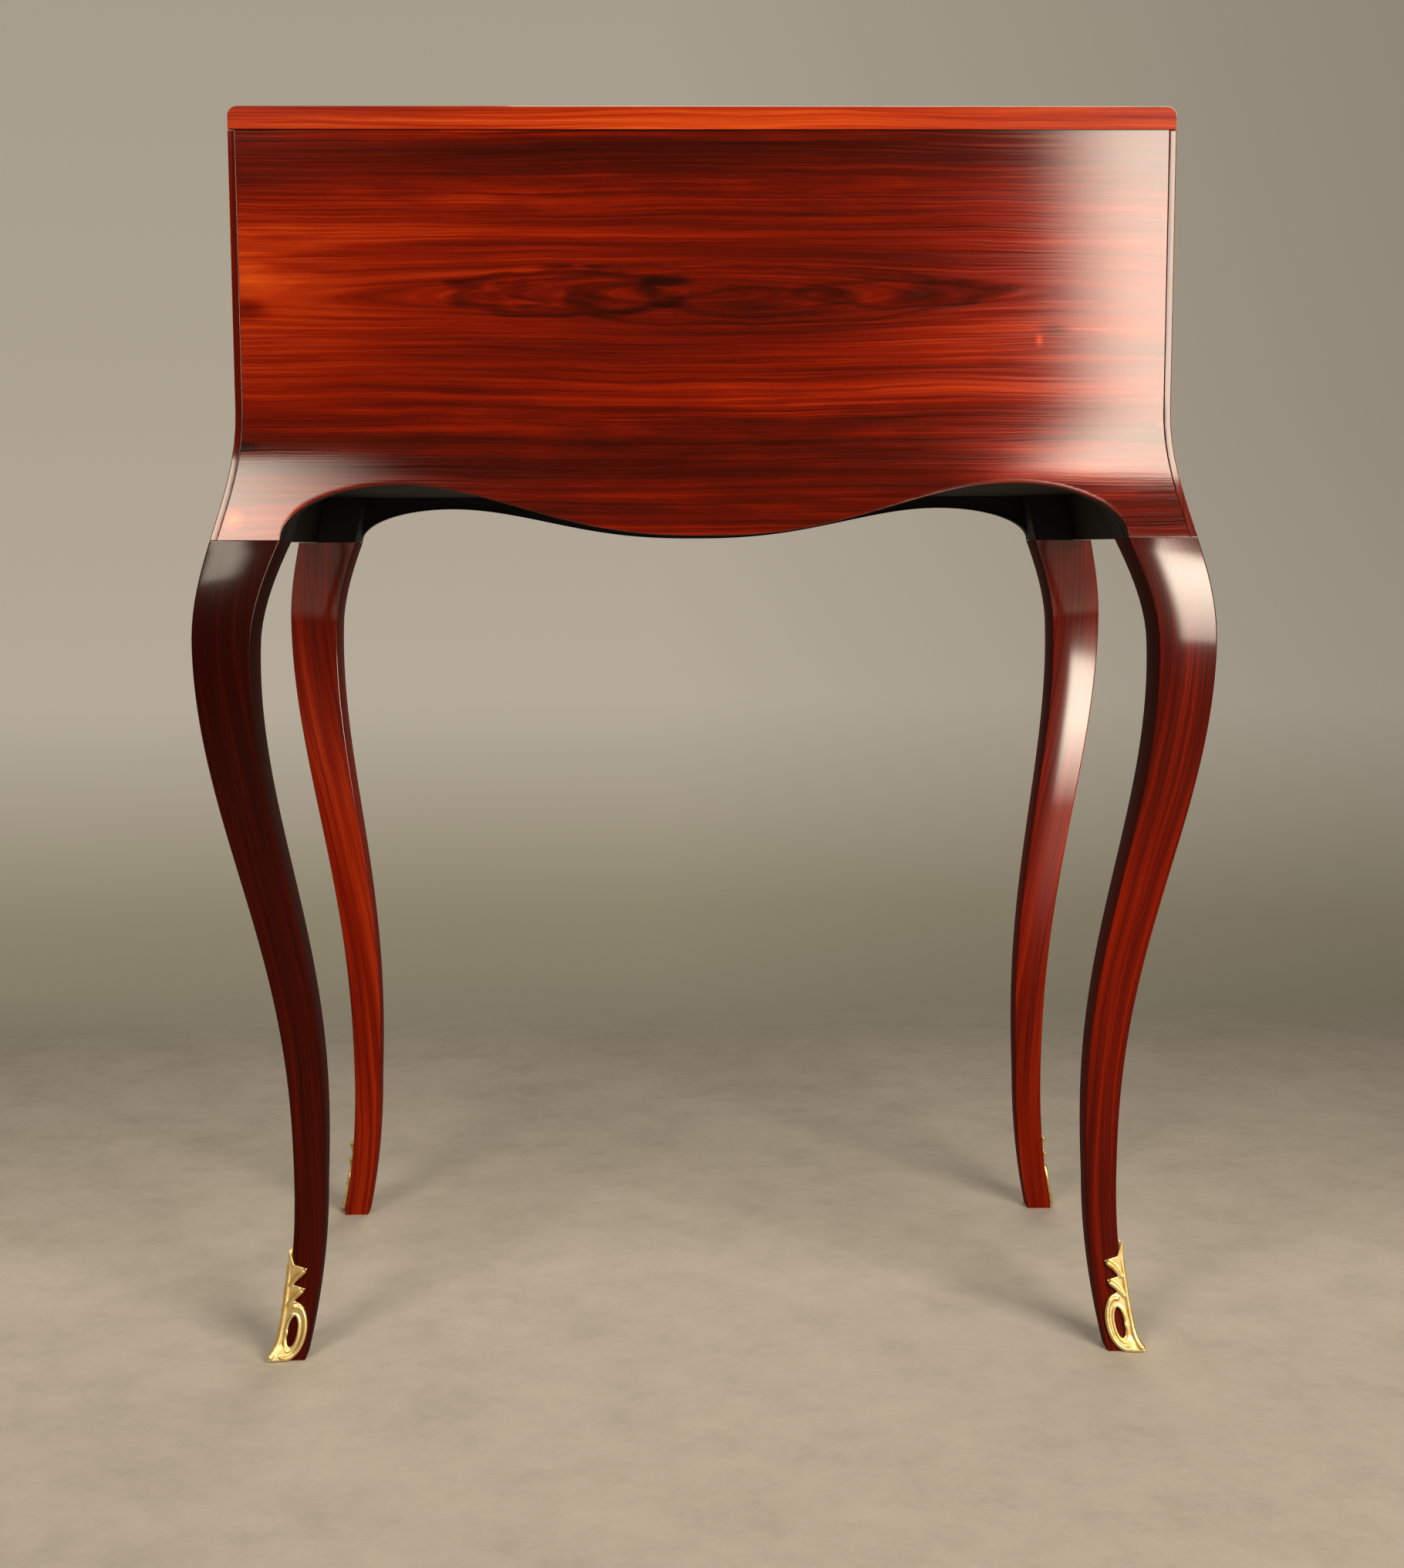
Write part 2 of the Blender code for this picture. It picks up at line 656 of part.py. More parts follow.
def make_bed(finishes):
    """The fixed writing surface, with a rebated opening that the lid slides in."""
    low = (-INNER_X + GAP, -HALF_DEPTH, BED_UNDERSIDE)
    bed = add_object("writing_bed", box(low, (INNER_X - GAP, INNER_BACK, BED_HEIGHT)), finishes["interior"])
    half = WELL_WIDTH / 2
    front = -HALF_DEPTH + WELL_SETBACK
    back = INNER_BACK - WELL_BACK_MARGIN
    ledge_z = BED_HEIGHT - LID_THICKNESS - RUN
    above = BED_HEIGHT + BED_THICKNESS
    cut(bed, "lid_recess", box((-half, front, ledge_z), (half, back, above)))
    well_back = front + LID_LENGTH - WELL_LEDGE
    low = (-half + WELL_LEDGE, front + WELL_LEDGE, BED_UNDERSIDE - BED_THICKNESS)
    cut(bed, "well_mouth", box(low, (half - WELL_LEDGE, well_back, above)))
    lid_low = (-half + RUN, front + RUN, ledge_z + GAP)
    lid_high = (half - RUN, front + RUN + LID_LENGTH, ledge_z + GAP + LID_THICKNESS)
    lid = add_object("well_lid", box(lid_low, lid_high), finishes["interior"])
    grip_radius = (FINGER_WIDTH**2 / 4 + FINGER_DEPTH**2) / (2 * FINGER_DEPTH)
    grip_place = (0, front + FINGER_SETBACK, lid_high[2] - FINGER_DEPTH + grip_radius)
    grip = prism(circle(grip_radius, FINGER_STEPS), "Y", -FINGER_LENGTH / 2, FINGER_LENGTH / 2)
    cut(lid, "finger_grip", grip, location=grip_place)
    return bed


def make_lopers(finishes):
    """The two slides that carry the open fall, with their guides, stop pegs and knobs."""
    floor_z = FLOOR_TOP + GAP
    middle_z = (LOPER_BOTTOM + LOPER_TOP) / 2
    back_y = -HALF_DEPTH + LOPER_LENGTH
    peg_y = back_y - STOP_SETBACK
    guide_front = -HALF_DEPTH + PANEL + GAP
    cheek_outer = LOPER_INNER - RUN
    cheek_inner = cheek_outer - CHEEK_THICKNESS
    for name, side in SIDES.items():
        levels = span(LOPER_BOTTOM, LOPER_TOP, LOPER_EDGE_STEPS)
        front_edge = [(-HALF_DEPTH - flare(z), z) for z in levels]
        outline = front_edge + [(back_y, LOPER_TOP), (back_y, LOPER_BOTTOM)]
        places = sorted((side * LOPER_INNER, side * LOPER_OUTER))
        loper = add_object(f"loper_{name}", prism(outline, "X", *places), finishes["rosewood"])
        section = [
            (side * LOPER_OUTER, floor_z),
            (side * LOPER_OUTER, LOPER_BOTTOM - RUN),
            (side * cheek_outer, LOPER_BOTTOM - RUN),
            (side * cheek_outer, BED_UNDERSIDE - GAP),
            (side * cheek_inner, BED_UNDERSIDE - GAP),
            (side * cheek_inner, floor_z),
        ]
        guide = prism(section, "Y", guide_front, guide_front + GUIDE_LENGTH)
        guide = add_object(f"loper_guide_{name}", guide, finishes["carcass"])

        # The peg rides in a slot of the cheek, and the slot's front end stops the loper
        peg_place = (0, peg_y, middle_z)
        seat = sorted((side * (LOPER_INNER + STOP_SEAT + GAP), side * cheek_inner))
        cut(loper, "peg_hole", along_x(STOP_RADIUS + GAP, STOP_SIDES, *seat), location=peg_place)
        reach = sorted((side * (LOPER_INNER + STOP_SEAT), side * (cheek_outer - STOP_REACH)))
        peg = along_x(STOP_RADIUS, STOP_SIDES, *reach)
        add_object(f"loper_stop_{name}", peg, finishes["carcass"], location=peg_place)
        room = STOP_RADIUS + RUN
        wall = sorted((side * (cheek_inner - CHEEK_THICKNESS), side * (cheek_outer + RUN / 2)))
        slot = box(
            (wall[0], peg_y - LOPER_TRAVEL - room, middle_z - room),
            (wall[1], peg_y + room, middle_z + room),
        )
        cut(guide, "peg_slot", slot)

        middle_x = side * (LOPER_INNER + LOPER_OUTER) / 2
        face_y = -HALF_DEPTH - flare(middle_z - KNOB_SEAT_RADIUS)
        make_knob(f"loper_knob_{name}", (middle_x, face_y - GAP, middle_z), finishes["brass"])


def make_knob(name, place, material):
    """A small turned knob that stands out towards -Y from its seat."""
    profile = [
        (KNOB_SEAT_RADIUS, 0.0),
        (KNOB_SEAT_RADIUS, KNOB_SEAT),
        (KNOB_NECK_RADIUS, KNOB_NECK_START),
        (KNOB_NECK_RADIUS, KNOB_NECK_END),
        (KNOB_RADIUS, KNOB_WIDEST),
        (KNOB_SHOULDER_RADIUS, KNOB_SHOULDER),
        (KNOB_TIP_RADIUS, KNOB_LENGTH),
    ]
    bm = turned(profile, KNOB_SIDES)
    bmesh.ops.rotate(bm, verts=bm.verts, matrix=Matrix.Rotation(math.radians(90), 3, "X"))
    smooth(add_object(name, bm, material, location=place))


# Pigeonhole unit


def make_unit(finishes):
    wood = finishes["interior"]
    edge_x = INNER_X - GAP
    boards = {
        "unit_base": (BED_HEIGHT + GAP, UNIT_BASE_TOP),
        "unit_shelf": (SHELF_UNDERSIDE, SHELF_TOP),
    }
    for name, (low, high) in boards.items():
        add_object(name, box((-edge_x, UNIT_FRONT, low), (edge_x, INNER_BACK, high)), wood)
    rail_low = UNIT_BASE_TOP + DRAWER_OPENING
    for name, side in SIDES.items():
        inner, outer = side * CENTRE_WIDTH / 2, side * (CENTRE_WIDTH / 2 + UNIT_BOARD)
        low = (min(inner, outer), UNIT_FRONT, UNIT_BASE_TOP + GAP)
        high = (max(inner, outer), INNER_BACK, SHELF_UNDERSIDE - GAP)
        add_object(f"unit_divider_{name}", box(low, high), wood)
        places = sorted((side * (CENTRE_WIDTH / 2 + UNIT_BOARD + GAP), side * edge_x))
        low = (places[0], UNIT_FRONT, rail_low)
        high = (places[1], INNER_BACK, rail_low + UNIT_RAIL)
        add_object(f"drawer_rail_{name}", box(low, high), wood)
        make_letter_divider(f"letter_divider_{name}", side, wood)


def make_letter_divider(name, side, material):
    """An upright board between letter slots, its front edge swept back in a curve."""
    low, high = SHELF_TOP + GAP, TOP_UNDERSIDE - GAP
    edge = [
        (UNIT_FRONT + LETTER_SWEEP * math.sin(math.pi * share), low + (high - low) * share)
        for share in span(0.0, 1.0, LETTER_STEPS)
    ]
    outline = edge + [(INNER_BACK, high), (INNER_BACK, low)]
    middle = side * LETTER_WIDTH / 2
    bm = prism(outline, "X", middle - LETTER_BOARD / 2, middle + LETTER_BOARD / 2)
    add_object(name, bm, material)


def make_drawer(row, side_name, finishes):
    """A small drawer: its front, the tray behind it and its knob."""
    side = SIDES[side_name]
    label = f"{row}_{side_name}"
    floor_z = UNIT_BASE_TOP + (DRAWER_OPENING + UNIT_RAIL) * (row == "upper")
    low_z, high_z = floor_z + RUN, floor_z + DRAWER_OPENING - RUN
    places = sorted((side * (CENTRE_WIDTH / 2 + UNIT_BOARD + RUN), side * (INNER_X - RUN)))
    front_y = UNIT_FRONT + DRAWER_SETBACK
    tray_y = front_y + DRAWER_FRONT + GAP
    back_y = front_y + DRAWER_LENGTH
    front = box((places[0], front_y, low_z), (places[1], front_y + DRAWER_FRONT, high_z))
    add_object(f"drawer_front_{label}", front, finishes["rosewood"])
    tray = add_object(
        f"drawer_tray_{label}",
        box((places[0], tray_y, low_z), (places[1], back_y, high_z)),
        finishes["interior"],
    )
    hollow = box(
        (places[0] + DRAWER_SIDE, tray_y - DRAWER_FRONT, low_z + DRAWER_FLOOR),
        (places[1] - DRAWER_SIDE, back_y - DRAWER_SIDE, high_z + DRAWER_OPENING),
    )
    cut(tray, "hollow", hollow)
    place = (sum(places) / 2, front_y - GAP, (low_z + high_z) / 2)
    make_knob(f"drawer_knob_{label}", place, finishes["brass"])


# Fall front. Its pieces are modelled flat, lying on the hinge line: X across, Y up the slope, Z outwards


def make_fall(finishes, pivot):
    half = INNER_X - RUN
    past_top = FALL_BODY_END + LOCK_LENGTH
    lip = box((-HALF_WIDTH, RUN, FALL_REBATE), (HALF_WIDTH, past_top, FALL_THICKNESS))
    level = Vector((0, math.sin(FALL_ANGLE), math.cos(FALL_ANGLE)))
    slice_off(lip, level * (INTERIOR_HEIGHT + TOP_THICKNESS), level)
    round_edges = [
        edge
        for edge in lip.edges
        if all(abs(v.co.z - FALL_THICKNESS) < TOUCH for v in edge.verts)
        and (min(v.co.y for v in edge.verts) < 2 * RUN)
    ]
    bmesh.ops.bevel(
        lip,
        geom=round_edges,
        offset=FALL_EDGE_ROUND,
        segments=FALL_EDGE_STEPS,
        profile=0.5,
        affect="EDGES",
    )
    fall = add_object("fall_front", lip, finishes["rosewood"], pivot)
    body = box((-half, RUN, 0.0), (half, FALL_BODY_END, (FALL_REBATE + FALL_THICKNESS) / 2))
    join(fall, "body", body, pivot)
    make_leather(fall, finishes, pivot)
    make_lock(fall, finishes, pivot)
    return fall


def make_leather(fall, finishes, pivot):
    """The leather writing surface, laid in a shallow recess of the fall's inner face."""
    half = INNER_X - LEATHER_SIDE_MARGIN
    low, high = LEATHER_HINGE_MARGIN, LOCK_FOOT - LEATHER_LOCK_MARGIN
    recess = box((-half, low, -FALL_REBATE), (half, high, LEATHER_THICKNESS + GAP))
    cut(fall, "leather_recess", recess, pivot)
    leather = box((-half + GAP, low + GAP, 0.0), (half - GAP, high - GAP, LEATHER_THICKNESS))
    add_object("fall_leather", leather, finishes["leather"], pivot)


def keyhole(grow):
    """Outline of a keyhole in the plane of the fall, round above with a slot below for the bit."""
    radius = KEY_RADIUS + grow
    half_slot = KEY_BIT_WIDTH / 2 + grow
    start = math.asin(half_slot / radius) - math.pi / 2
    turns = span(start, start + math.tau - 2 * (start + math.pi / 2), KEY_SIDES)
    outline = [(radius * math.cos(a), KEY_PLACE + radius * math.sin(a)) for a in turns]
    foot = KEY_PLACE - KEY_BIT_REACH - grow
    return outline + [(-half_slot, foot), (half_slot, foot)]


def make_lock(fall, finishes, pivot):
    half = LOCK_WIDTH / 2
    case_low = (-half + GAP, LOCK_FOOT + GAP, GAP)
    case_high = (half - GAP, FALL_BODY_END, LOCK_DEPTH)
    mortise_high = (half, FALL_BODY_END + LOCK_DEPTH, LOCK_DEPTH + GAP)
    cut(fall, "lock_mortise", box((-half, LOCK_FOOT, -FALL_REBATE), mortise_high), pivot)
    cut(fall, "keyhole", prism(keyhole(KEYHOLE_CLEARANCE), "Z", 0.0, 2 * FALL_THICKNESS), pivot)

    case = add_object("lock_case", box(case_low, case_high), finishes["brass"], pivot)
    bolt_foot = FALL_BODY_END - BOLT_LENGTH
    bolt_low = (-BOLT_WIDTH / 2, bolt_foot, BOLT_FLOOR)
    bolt_high = (BOLT_WIDTH / 2, FALL_BODY_END - RUN, BOLT_FLOOR + BOLT_THICKNESS)
    channel_low = tuple(value - RUN for value in bolt_low)
    channel_high = (bolt_high[0] + RUN, FALL_BODY_END + BOLT_LENGTH, bolt_high[2] + RUN)
    cut(case, "bolt_channel", box(channel_low, channel_high), pivot)
    add_object("lock_bolt", box(bolt_low, bolt_high), finishes["steel"], pivot)
    ward = circle(KEY_BIT_REACH + KEYHOLE_CLEARANCE, WARD_SIDES, (0.0, KEY_PLACE))
    cut(case, "key_ward", prism(ward, "Z", BOLT_FLOOR - RUN, 2 * LOCK_DEPTH), pivot)

    make_key(finishes["steel"], pivot)
    plate = prism(plate_outline(), "Z", FALL_THICKNESS + GAP, FALL_THICKNESS + GAP + PLATE_THICKNESS)
    plate = add_object("keyhole_plate", plate, finishes["gilt"], pivot)
    through = prism(keyhole(KEYHOLE_CLEARANCE), "Z", FALL_THICKNESS / 2, 2 * FALL_THICKNESS)
    cut(plate, "keyhole", through, pivot)


def plate_outline():
    """A lobed cartouche round the keyhole."""
    middle = KEY_PLACE - KEY_BIT_REACH / 2
    points = []
    for turn in span(0.0, math.tau, PLATE_STEPS)[:-1]:
        scallop = 1 + PLATE_SCALLOP * math.cos(PLATE_LOBES * turn)
        scallop -= PLATE_RIPPLE * math.cos(2 * PLATE_LOBES * turn)
        x = PLATE_WIDTH / 2 * math.sin(turn) * scallop
        points.append((x, middle + PLATE_HEIGHT / 2 * math.cos(turn) * scallop))
    return points


def make_key(material, pivot):
    """A key in the lock: its shank along the keyhole's axis, the bit inside and the bow outside."""
    tip = BOLT_FLOOR
    shank = prism(circle(KEY_RADIUS, KEY_SIDES), "Z", tip, FALL_THICKNESS + KEY_REACH)
    key = add_object("key", shank, material, pivot, (0, KEY_PLACE, 0))
    half = KEY_BIT_WIDTH / 2
    bit = box((-half, -KEY_BIT_REACH, tip + RUN), (half, 0.0, tip + RUN + KEY_BIT_LENGTH))
    join(key, "bit", bit, pivot, (0, KEY_PLACE, 0))
    section = KEY_BOW_THICKNESS / 2
    rings = []
    for turn in span(0.0, math.tau, KEY_BOW_STEPS)[:-1]:
        centre = Vector((KEY_BOW_WIDTH / 2 * math.cos(turn), 0.0, KEY_BOW_HEIGHT / 2 * math.sin(turn)))
        out = centre.normalized()
        rings.append(
            [
                centre + out * section * math.cos(a) + Vector((0, section * math.sin(a), 0))
                for a in span(0.0, math.tau, KEY_BOW_SIDES)[:-1]
            ]
        )
    bow = bmesh.new()
    rows = [[bow.verts.new(point) for point in ring] for ring in rings]
    for i, row in enumerate(rows):
        for j in range(len(row)):
            last = rows[i - 1]
            bow.faces.new((last[j - 1], last[j], row[j], row[j - 1]))
    bow_z = FALL_THICKNESS + KEY_REACH + KEY_BOW_HEIGHT / 2
    join(key, "bow", bow, pivot, (0, KEY_PLACE, bow_z))


# Hinges of the fall


def hinge_leaf(middle, flip):
    """A flat leaf on the hinge line, let in under Z = 0, or over it for the fall's leaf."""
    half = HINGE_LENGTH / 2
    low, high = (GAP, LEAF_THICKNESS) if flip else (-LEAF_THICKNESS, -GAP)
    return box((middle - half, 0.0, low), (middle + half, LEAF_WIDTH, high))


def make_hinge(name, side, bed, fall, finishes, pivot, line):
    """A butt hinge: bed leaf with the outer knuckles, fall leaf with the middle one, and the pin."""
    middle = side * (HALF_WIDTH - HINGE_INSET)
    half = HINGE_LENGTH / 2
    mid_half = KNUCKLE_LENGTH / 2
    clear = KNUCKLE_RADIUS + RUN
    brass = finishes["brass"]
    hosts = {"bed": (bed, line, False), "fall": (fall, pivot, True)}
    knuckles = {
        "bed": [(middle - half, middle - mid_half - RUN), (middle + mid_half + RUN, middle + half)],
        "fall": [(middle - mid_half, middle + mid_half)],
    }
    for key, (host, parent, flip) in hosts.items():
        sign = 1 if flip else -1
        depth = sorted((-sign * clear, sign * clear))
        notch = box((middle - half - RUN, -clear, depth[0]), (middle + half + RUN, clear, depth[1]))
        cut(host, f"{name}_knuckle", notch, parent)
        depth = sorted((-sign * clear, sign * (LEAF_THICKNESS + GAP)))
        low = (middle - half - GAP, -clear, depth[0])
        cut(host, f"{name}_leaf", box(low, (middle + half + GAP, LEAF_WIDTH + GAP, depth[1])), parent)
        leaf = add_object(f"hinge_{name}_{key}_leaf", hinge_leaf(middle, flip), brass, parent)
        for i, (low, high) in enumerate(knuckles[key]):
            join(leaf, f"knuckle_{i}", along_x(KNUCKLE_RADIUS, KNUCKLE_SIDES, low, high), parent)
        for i, (low, high) in enumerate(knuckles["fall" if key == "bed" else "bed"]):
            room = box((low - RUN, -clear, -clear), (high + RUN, clear, clear))
            cut(leaf, f"room_{i}", room, parent)
        reach = (middle - HINGE_LENGTH, middle + HINGE_LENGTH)
        bore = along_x(PIN_RADIUS + PIN_CLEARANCE, KNUCKLE_SIDES, *reach)
        cut(leaf, "bore", bore, parent)
    pin = along_x(PIN_RADIUS, KNUCKLE_SIDES, middle - half, middle + half)
    add_object(f"hinge_{name}_pin", pin, finishes["steel"], line)


def make_hinges(bed, fall, finishes, pivot, line):
    for name, side in SIDES.items():
        make_hinge(name, side, bed, fall, finishes, pivot, line)


# Whole desk


def add_empty(name, location, turn=0.0):
    empty = bpy.data.objects.new(name, None)
    bpy.context.collection.objects.link(empty)
    empty.location = location
    empty.rotation_euler = (turn, 0, 0)
    return empty


def main():
    for obj in list(bpy.data.objects):
        bpy.data.objects.remove(obj)
    finishes = make_finishes()
    line = add_empty("hinge_line", (0, -HALF_DEPTH, BED_HEIGHT))
    pivot = add_empty("fall_pivot", (0, -HALF_DEPTH, BED_HEIGHT), FALL_ANGLE)
    make_case(finishes, pivot)
    bed = make_bed(finishes)
    make_lopers(finishes)
    make_unit(finishes)
    for row in ("lower", "upper"):
        for side_name in SIDES:
            make_drawer(row, side_name, finishes)
    fall = make_fall(finishes, pivot)
    make_hinges(bed, fall, finishes, pivot, line)


main()
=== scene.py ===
# %% [markdown]
# A lady's writing desk with a slanted front, shown from its finished back. The desk has already been
# built as solid pieces that give every place and size. This lesson dresses them: it models the curved
# pieces finely, eases every edge and gives each surface its real finish. Lengths are metres, the front
# of the desk faces -Y, and the back that the picture shows faces +Y.

# %% Load the frame
import json
import math

import bpy
from mathutils import Matrix, Vector


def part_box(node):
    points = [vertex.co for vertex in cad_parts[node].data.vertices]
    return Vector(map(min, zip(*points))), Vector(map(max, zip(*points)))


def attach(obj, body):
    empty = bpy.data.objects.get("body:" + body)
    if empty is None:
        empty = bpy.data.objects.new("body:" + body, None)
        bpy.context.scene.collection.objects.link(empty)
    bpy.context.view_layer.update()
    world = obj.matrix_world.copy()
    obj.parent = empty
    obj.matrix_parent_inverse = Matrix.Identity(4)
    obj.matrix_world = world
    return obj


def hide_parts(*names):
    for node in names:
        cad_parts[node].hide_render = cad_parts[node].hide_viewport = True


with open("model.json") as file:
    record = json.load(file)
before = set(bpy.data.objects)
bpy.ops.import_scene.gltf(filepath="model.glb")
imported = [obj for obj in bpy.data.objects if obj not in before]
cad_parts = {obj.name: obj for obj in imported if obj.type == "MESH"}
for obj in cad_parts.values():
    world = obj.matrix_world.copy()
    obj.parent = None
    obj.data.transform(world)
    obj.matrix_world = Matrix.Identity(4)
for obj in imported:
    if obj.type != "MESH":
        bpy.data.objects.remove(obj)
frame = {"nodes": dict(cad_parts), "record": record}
nodes = frame["nodes"]
body_of = {name: body for body, names in frame["record"]["behaviour"]["bodies"].items() for name in names}
slot_of = {part["node"]: part["material_slot"] for part in frame["record"]["subparts"]}
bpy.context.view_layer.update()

# %% [markdown]
# The camera stands behind the desk, a little above the middle of its height, and looks slightly down.
# Its place and lens were found by matching the corners of the case and the feet of the desk.

# %% Camera
CAMERA_PLACE = Vector((0.036, 1.7885, 0.635))
CAMERA_YAW = math.radians(-1.18)
CAMERA_PITCH = math.radians(6.42)
CAMERA_ROLL = math.radians(-0.2)
FOCAL_LENGTH_PIXELS = 2713
PICTURE_HEIGHT_PIXELS = 2032

bpy.ops.object.camera_add()
camera = bpy.context.object
camera.name = "camera"
heading = Matrix.Rotation(math.pi + CAMERA_YAW, 4, "Z")
tilt = Matrix.Rotation(math.pi / 2 - CAMERA_PITCH, 4, "X")
roll = Matrix.Rotation(CAMERA_ROLL, 4, "Z")
camera.matrix_world = Matrix.Translation(CAMERA_PLACE) @ heading @ tilt @ roll
camera.data.lens = camera.data.sensor_width * FOCAL_LENGTH_PIXELS / PICTURE_HEIGHT_PIXELS
bpy.context.scene.camera = camera
print(f"lens {camera.data.lens:.1f} mm")

# %% [markdown]
# Finishes are built from nodes. Small helpers keep that short: one turns a paint-chart colour into the
# linear values that a shader works with, one adds a node, sets it and wires it up, and the others add
# the few kinds of nodes that come again and again.

# %% Helpers for finishes
MIX_A, MIX_B, MIX_COLOUR = 6, 7, 2


def linear(code):
    """An sRGB hex colour as linear red, green, blue and alpha."""
    values = [int(code[i : i + 2], 16) / 255 for i in (1, 3, 5)]
    return [v / 12.92 if v <= 0.04045 else ((v + 0.055) / 1.055) ** 2.4 for v in values] + [1.0]


def fill(node, inputs):
    """Links the inputs of a node to the given sockets, or sets them to the given values."""
    for socket, value in inputs.items():
        if isinstance(value, bpy.types.NodeSocket):
            node.id_data.links.new(value, node.inputs[socket])
        else:
            node.inputs[socket].default_value = value


def add(tree, kind, inputs=None, output=0, **fields):
    """Adds a shader node, sets its fields, fills its inputs, and gives back one of its outputs."""
    node = tree.nodes.new(f"ShaderNode{kind}")
    for field, value in fields.items():
        setattr(node, field, value)
    fill(node, inputs or {})
    return node.outputs[output]


def maths(tree, operation, *values):
    """One step of arithmetic on numbers and sockets."""
    return add(tree, "Math", dict(enumerate(values)), operation=operation)


def vectors(tree, operation, *values):
    """One step of arithmetic on vectors, which gives a number for a length or a dot product."""
    output = "Value" if operation in ("LENGTH", "DOT_PRODUCT") else "Vector"
    return add(tree, "VectorMath", dict(enumerate(values)), output, operation=operation)


def rescale(tree, value, source=(0.0, 1.0), target=(0.0, 1.0), way="LINEAR"):
    """Brings a value from the source range into the target range."""
    limits = {"From Min": source[0], "From Max": source[1], "To Min": target[0], "To Max": target[1]}
    return add(tree, "MapRange", {"Value": value, **limits}, interpolation_type=way)


def noise(tree, place, scale, detail, roughness=0.5):
    """Soft noise between about 0.3 and 0.7."""
    return add(tree, "TexNoise", {"Vector": place, "Scale": scale, "Detail": detail, "Roughness": roughness})


def ramp(tree, value, stops):
    """The colour that a value has among the colours of the stops."""
    colour = add(tree, "ValToRGB", {0: value})
    elements = colour.node.color_ramp.elements
    for position, _ in stops[1:-1]:
        elements.new(position)
    for element, (position, code) in zip(elements, stops):
        element.position = position
        element.color = linear(code)
    return colour


def blend(tree, first, second, share=1.0, way="MULTIPLY"):
    """Two colours multiplied, or blended in another way."""
    colours = {0: share, MIX_A: first, MIX_B: second}
    return add(tree, "Mix", colours, MIX_COLOUR, data_type="RGBA", blend_type=way)


def new_finish(name):
    """A new material, its node tree and its Principled shader."""
    material = bpy.data.materials.new(name)
    material.use_nodes = True
    return material, material.node_tree, material.node_tree.nodes["Principled BSDF"]


print("helpers ready")

# %% [markdown]
# The stage is a plain pale floor that fades into a grey backdrop, so that it works from every side.
# The floor is a little darker far away and close to the lamps, which is painted shade that keeps its light
# even, and floor and backdrop are both darker on the right, painted shade as in the picture. The backdrop
# is the world's colour as the eye sees it, also in a polish, with painted shade in a darker band low down.
# Behind the camera the room is dim, because a bright one would veil the red of the wood.

# %% Floor and backdrop
FLOOR_SIZE = 9.0
FLOOR_FADES = [("X", 1, 1.6, 2.6), ("X", -1, 1.6, 2.6), ("Y", 1, 1.6, 2.6), ("Y", -1, 0.75, 1.20)]
# Painted shade on the floor: darker far away, near the lamps, and on the right.
FLOOR_SHADE = [(0.05, "#c4c4c4"), (0.33, "#e4e4e4"), (0.50, "#ffffff"), (0.63, "#f0f0f0"), (0.78, "#e1e1e1")]
FLOOR_TONES = [(0.3, "#b6b0a4"), (0.5, "#c6bfb4"), (0.7, "#d0c9be")]
FLOOR_SIDE_SHADE = (0.76, 1.15)
FLOOR_BLOTCHES = (12.0, 10.0, 0.8)

material, tree, shader = new_finish("matte_floor_paper")
place = add(tree, "TexCoord", output="Object")
split = add(tree, "SeparateXYZ", {0: place}).node.outputs
faded = 0.0
for axis, way, near, far in FLOOR_FADES:
    away = maths(tree, "MULTIPLY", split[axis], way)
    faded = maths(tree, "MAXIMUM", rescale(tree, away, (near, far), way="SMOOTHSTEP"), faded)
tone = ramp(tree, noise(tree, place, *FLOOR_BLOTCHES), FLOOR_TONES)
tone = blend(tree, tone, rescale(tree, split["X"], (-1.0, 1.0), FLOOR_SIDE_SHADE))
tone = blend(tree, tone, ramp(tree, rescale(tree, split["Y"], (-1.0, 1.0)), FLOOR_SHADE))
fill(shader, {"Base Color": tone, "Roughness": 0.85, "Specular IOR Level": 0.15})
clear = add(tree, "BsdfTransparent", output="BSDF")
mixed = add(tree, "MixShader", {0: faded, 1: shader.outputs[0], 2: clear})
fill(tree.nodes["Material Output"], {"Surface": mixed})

bpy.ops.mesh.primitive_plane_add(size=FLOOR_SIZE)
floor = bpy.context.object
floor.name = "floor"
floor.data.materials.append(material)

# Painted shade on the backdrop: a darker band low down near the floor, and a darker right side.
BACKDROP_AND_LOW_SHADE = [(0.30, "#7a7360"), (0.36, "#8d846e"), (0.44, "#b5aa99"), (0.55, "#aea392"), (0.70, "#a79d8c")]
BACKDROP_REACH = (-0.6, 0.6)
BACKDROP_SHADE_RIGHT = (0.70, 1.0)
BACKDROP_SHADE_REACH = (-0.33, 0.0)
DIM_ROOM = "#4c3a2b"
DIM_REACH = (-0.3, 0.6)
ROOM_COLOUR = "#fffaf3"
ROOM_LIGHT = 0.11
world = bpy.data.worlds.new("studio_room")
bpy.context.scene.world = world
world.use_nodes = True
tree = world.node_tree
tree.nodes.clear()
direction = add(tree, "TexCoord", output="Generated")
split = add(tree, "SeparateXYZ", {0: direction}).node.outputs
backdrop = ramp(tree, rescale(tree, split["Z"], BACKDROP_REACH), BACKDROP_AND_LOW_SHADE)
backdrop = blend(tree, backdrop, rescale(tree, split["X"], BACKDROP_SHADE_REACH, BACKDROP_SHADE_RIGHT))
behind = rescale(tree, split["Y"], DIM_REACH, way="SMOOTHSTEP")
sides = blend(tree, backdrop, linear(DIM_ROOM), behind, "MIX")
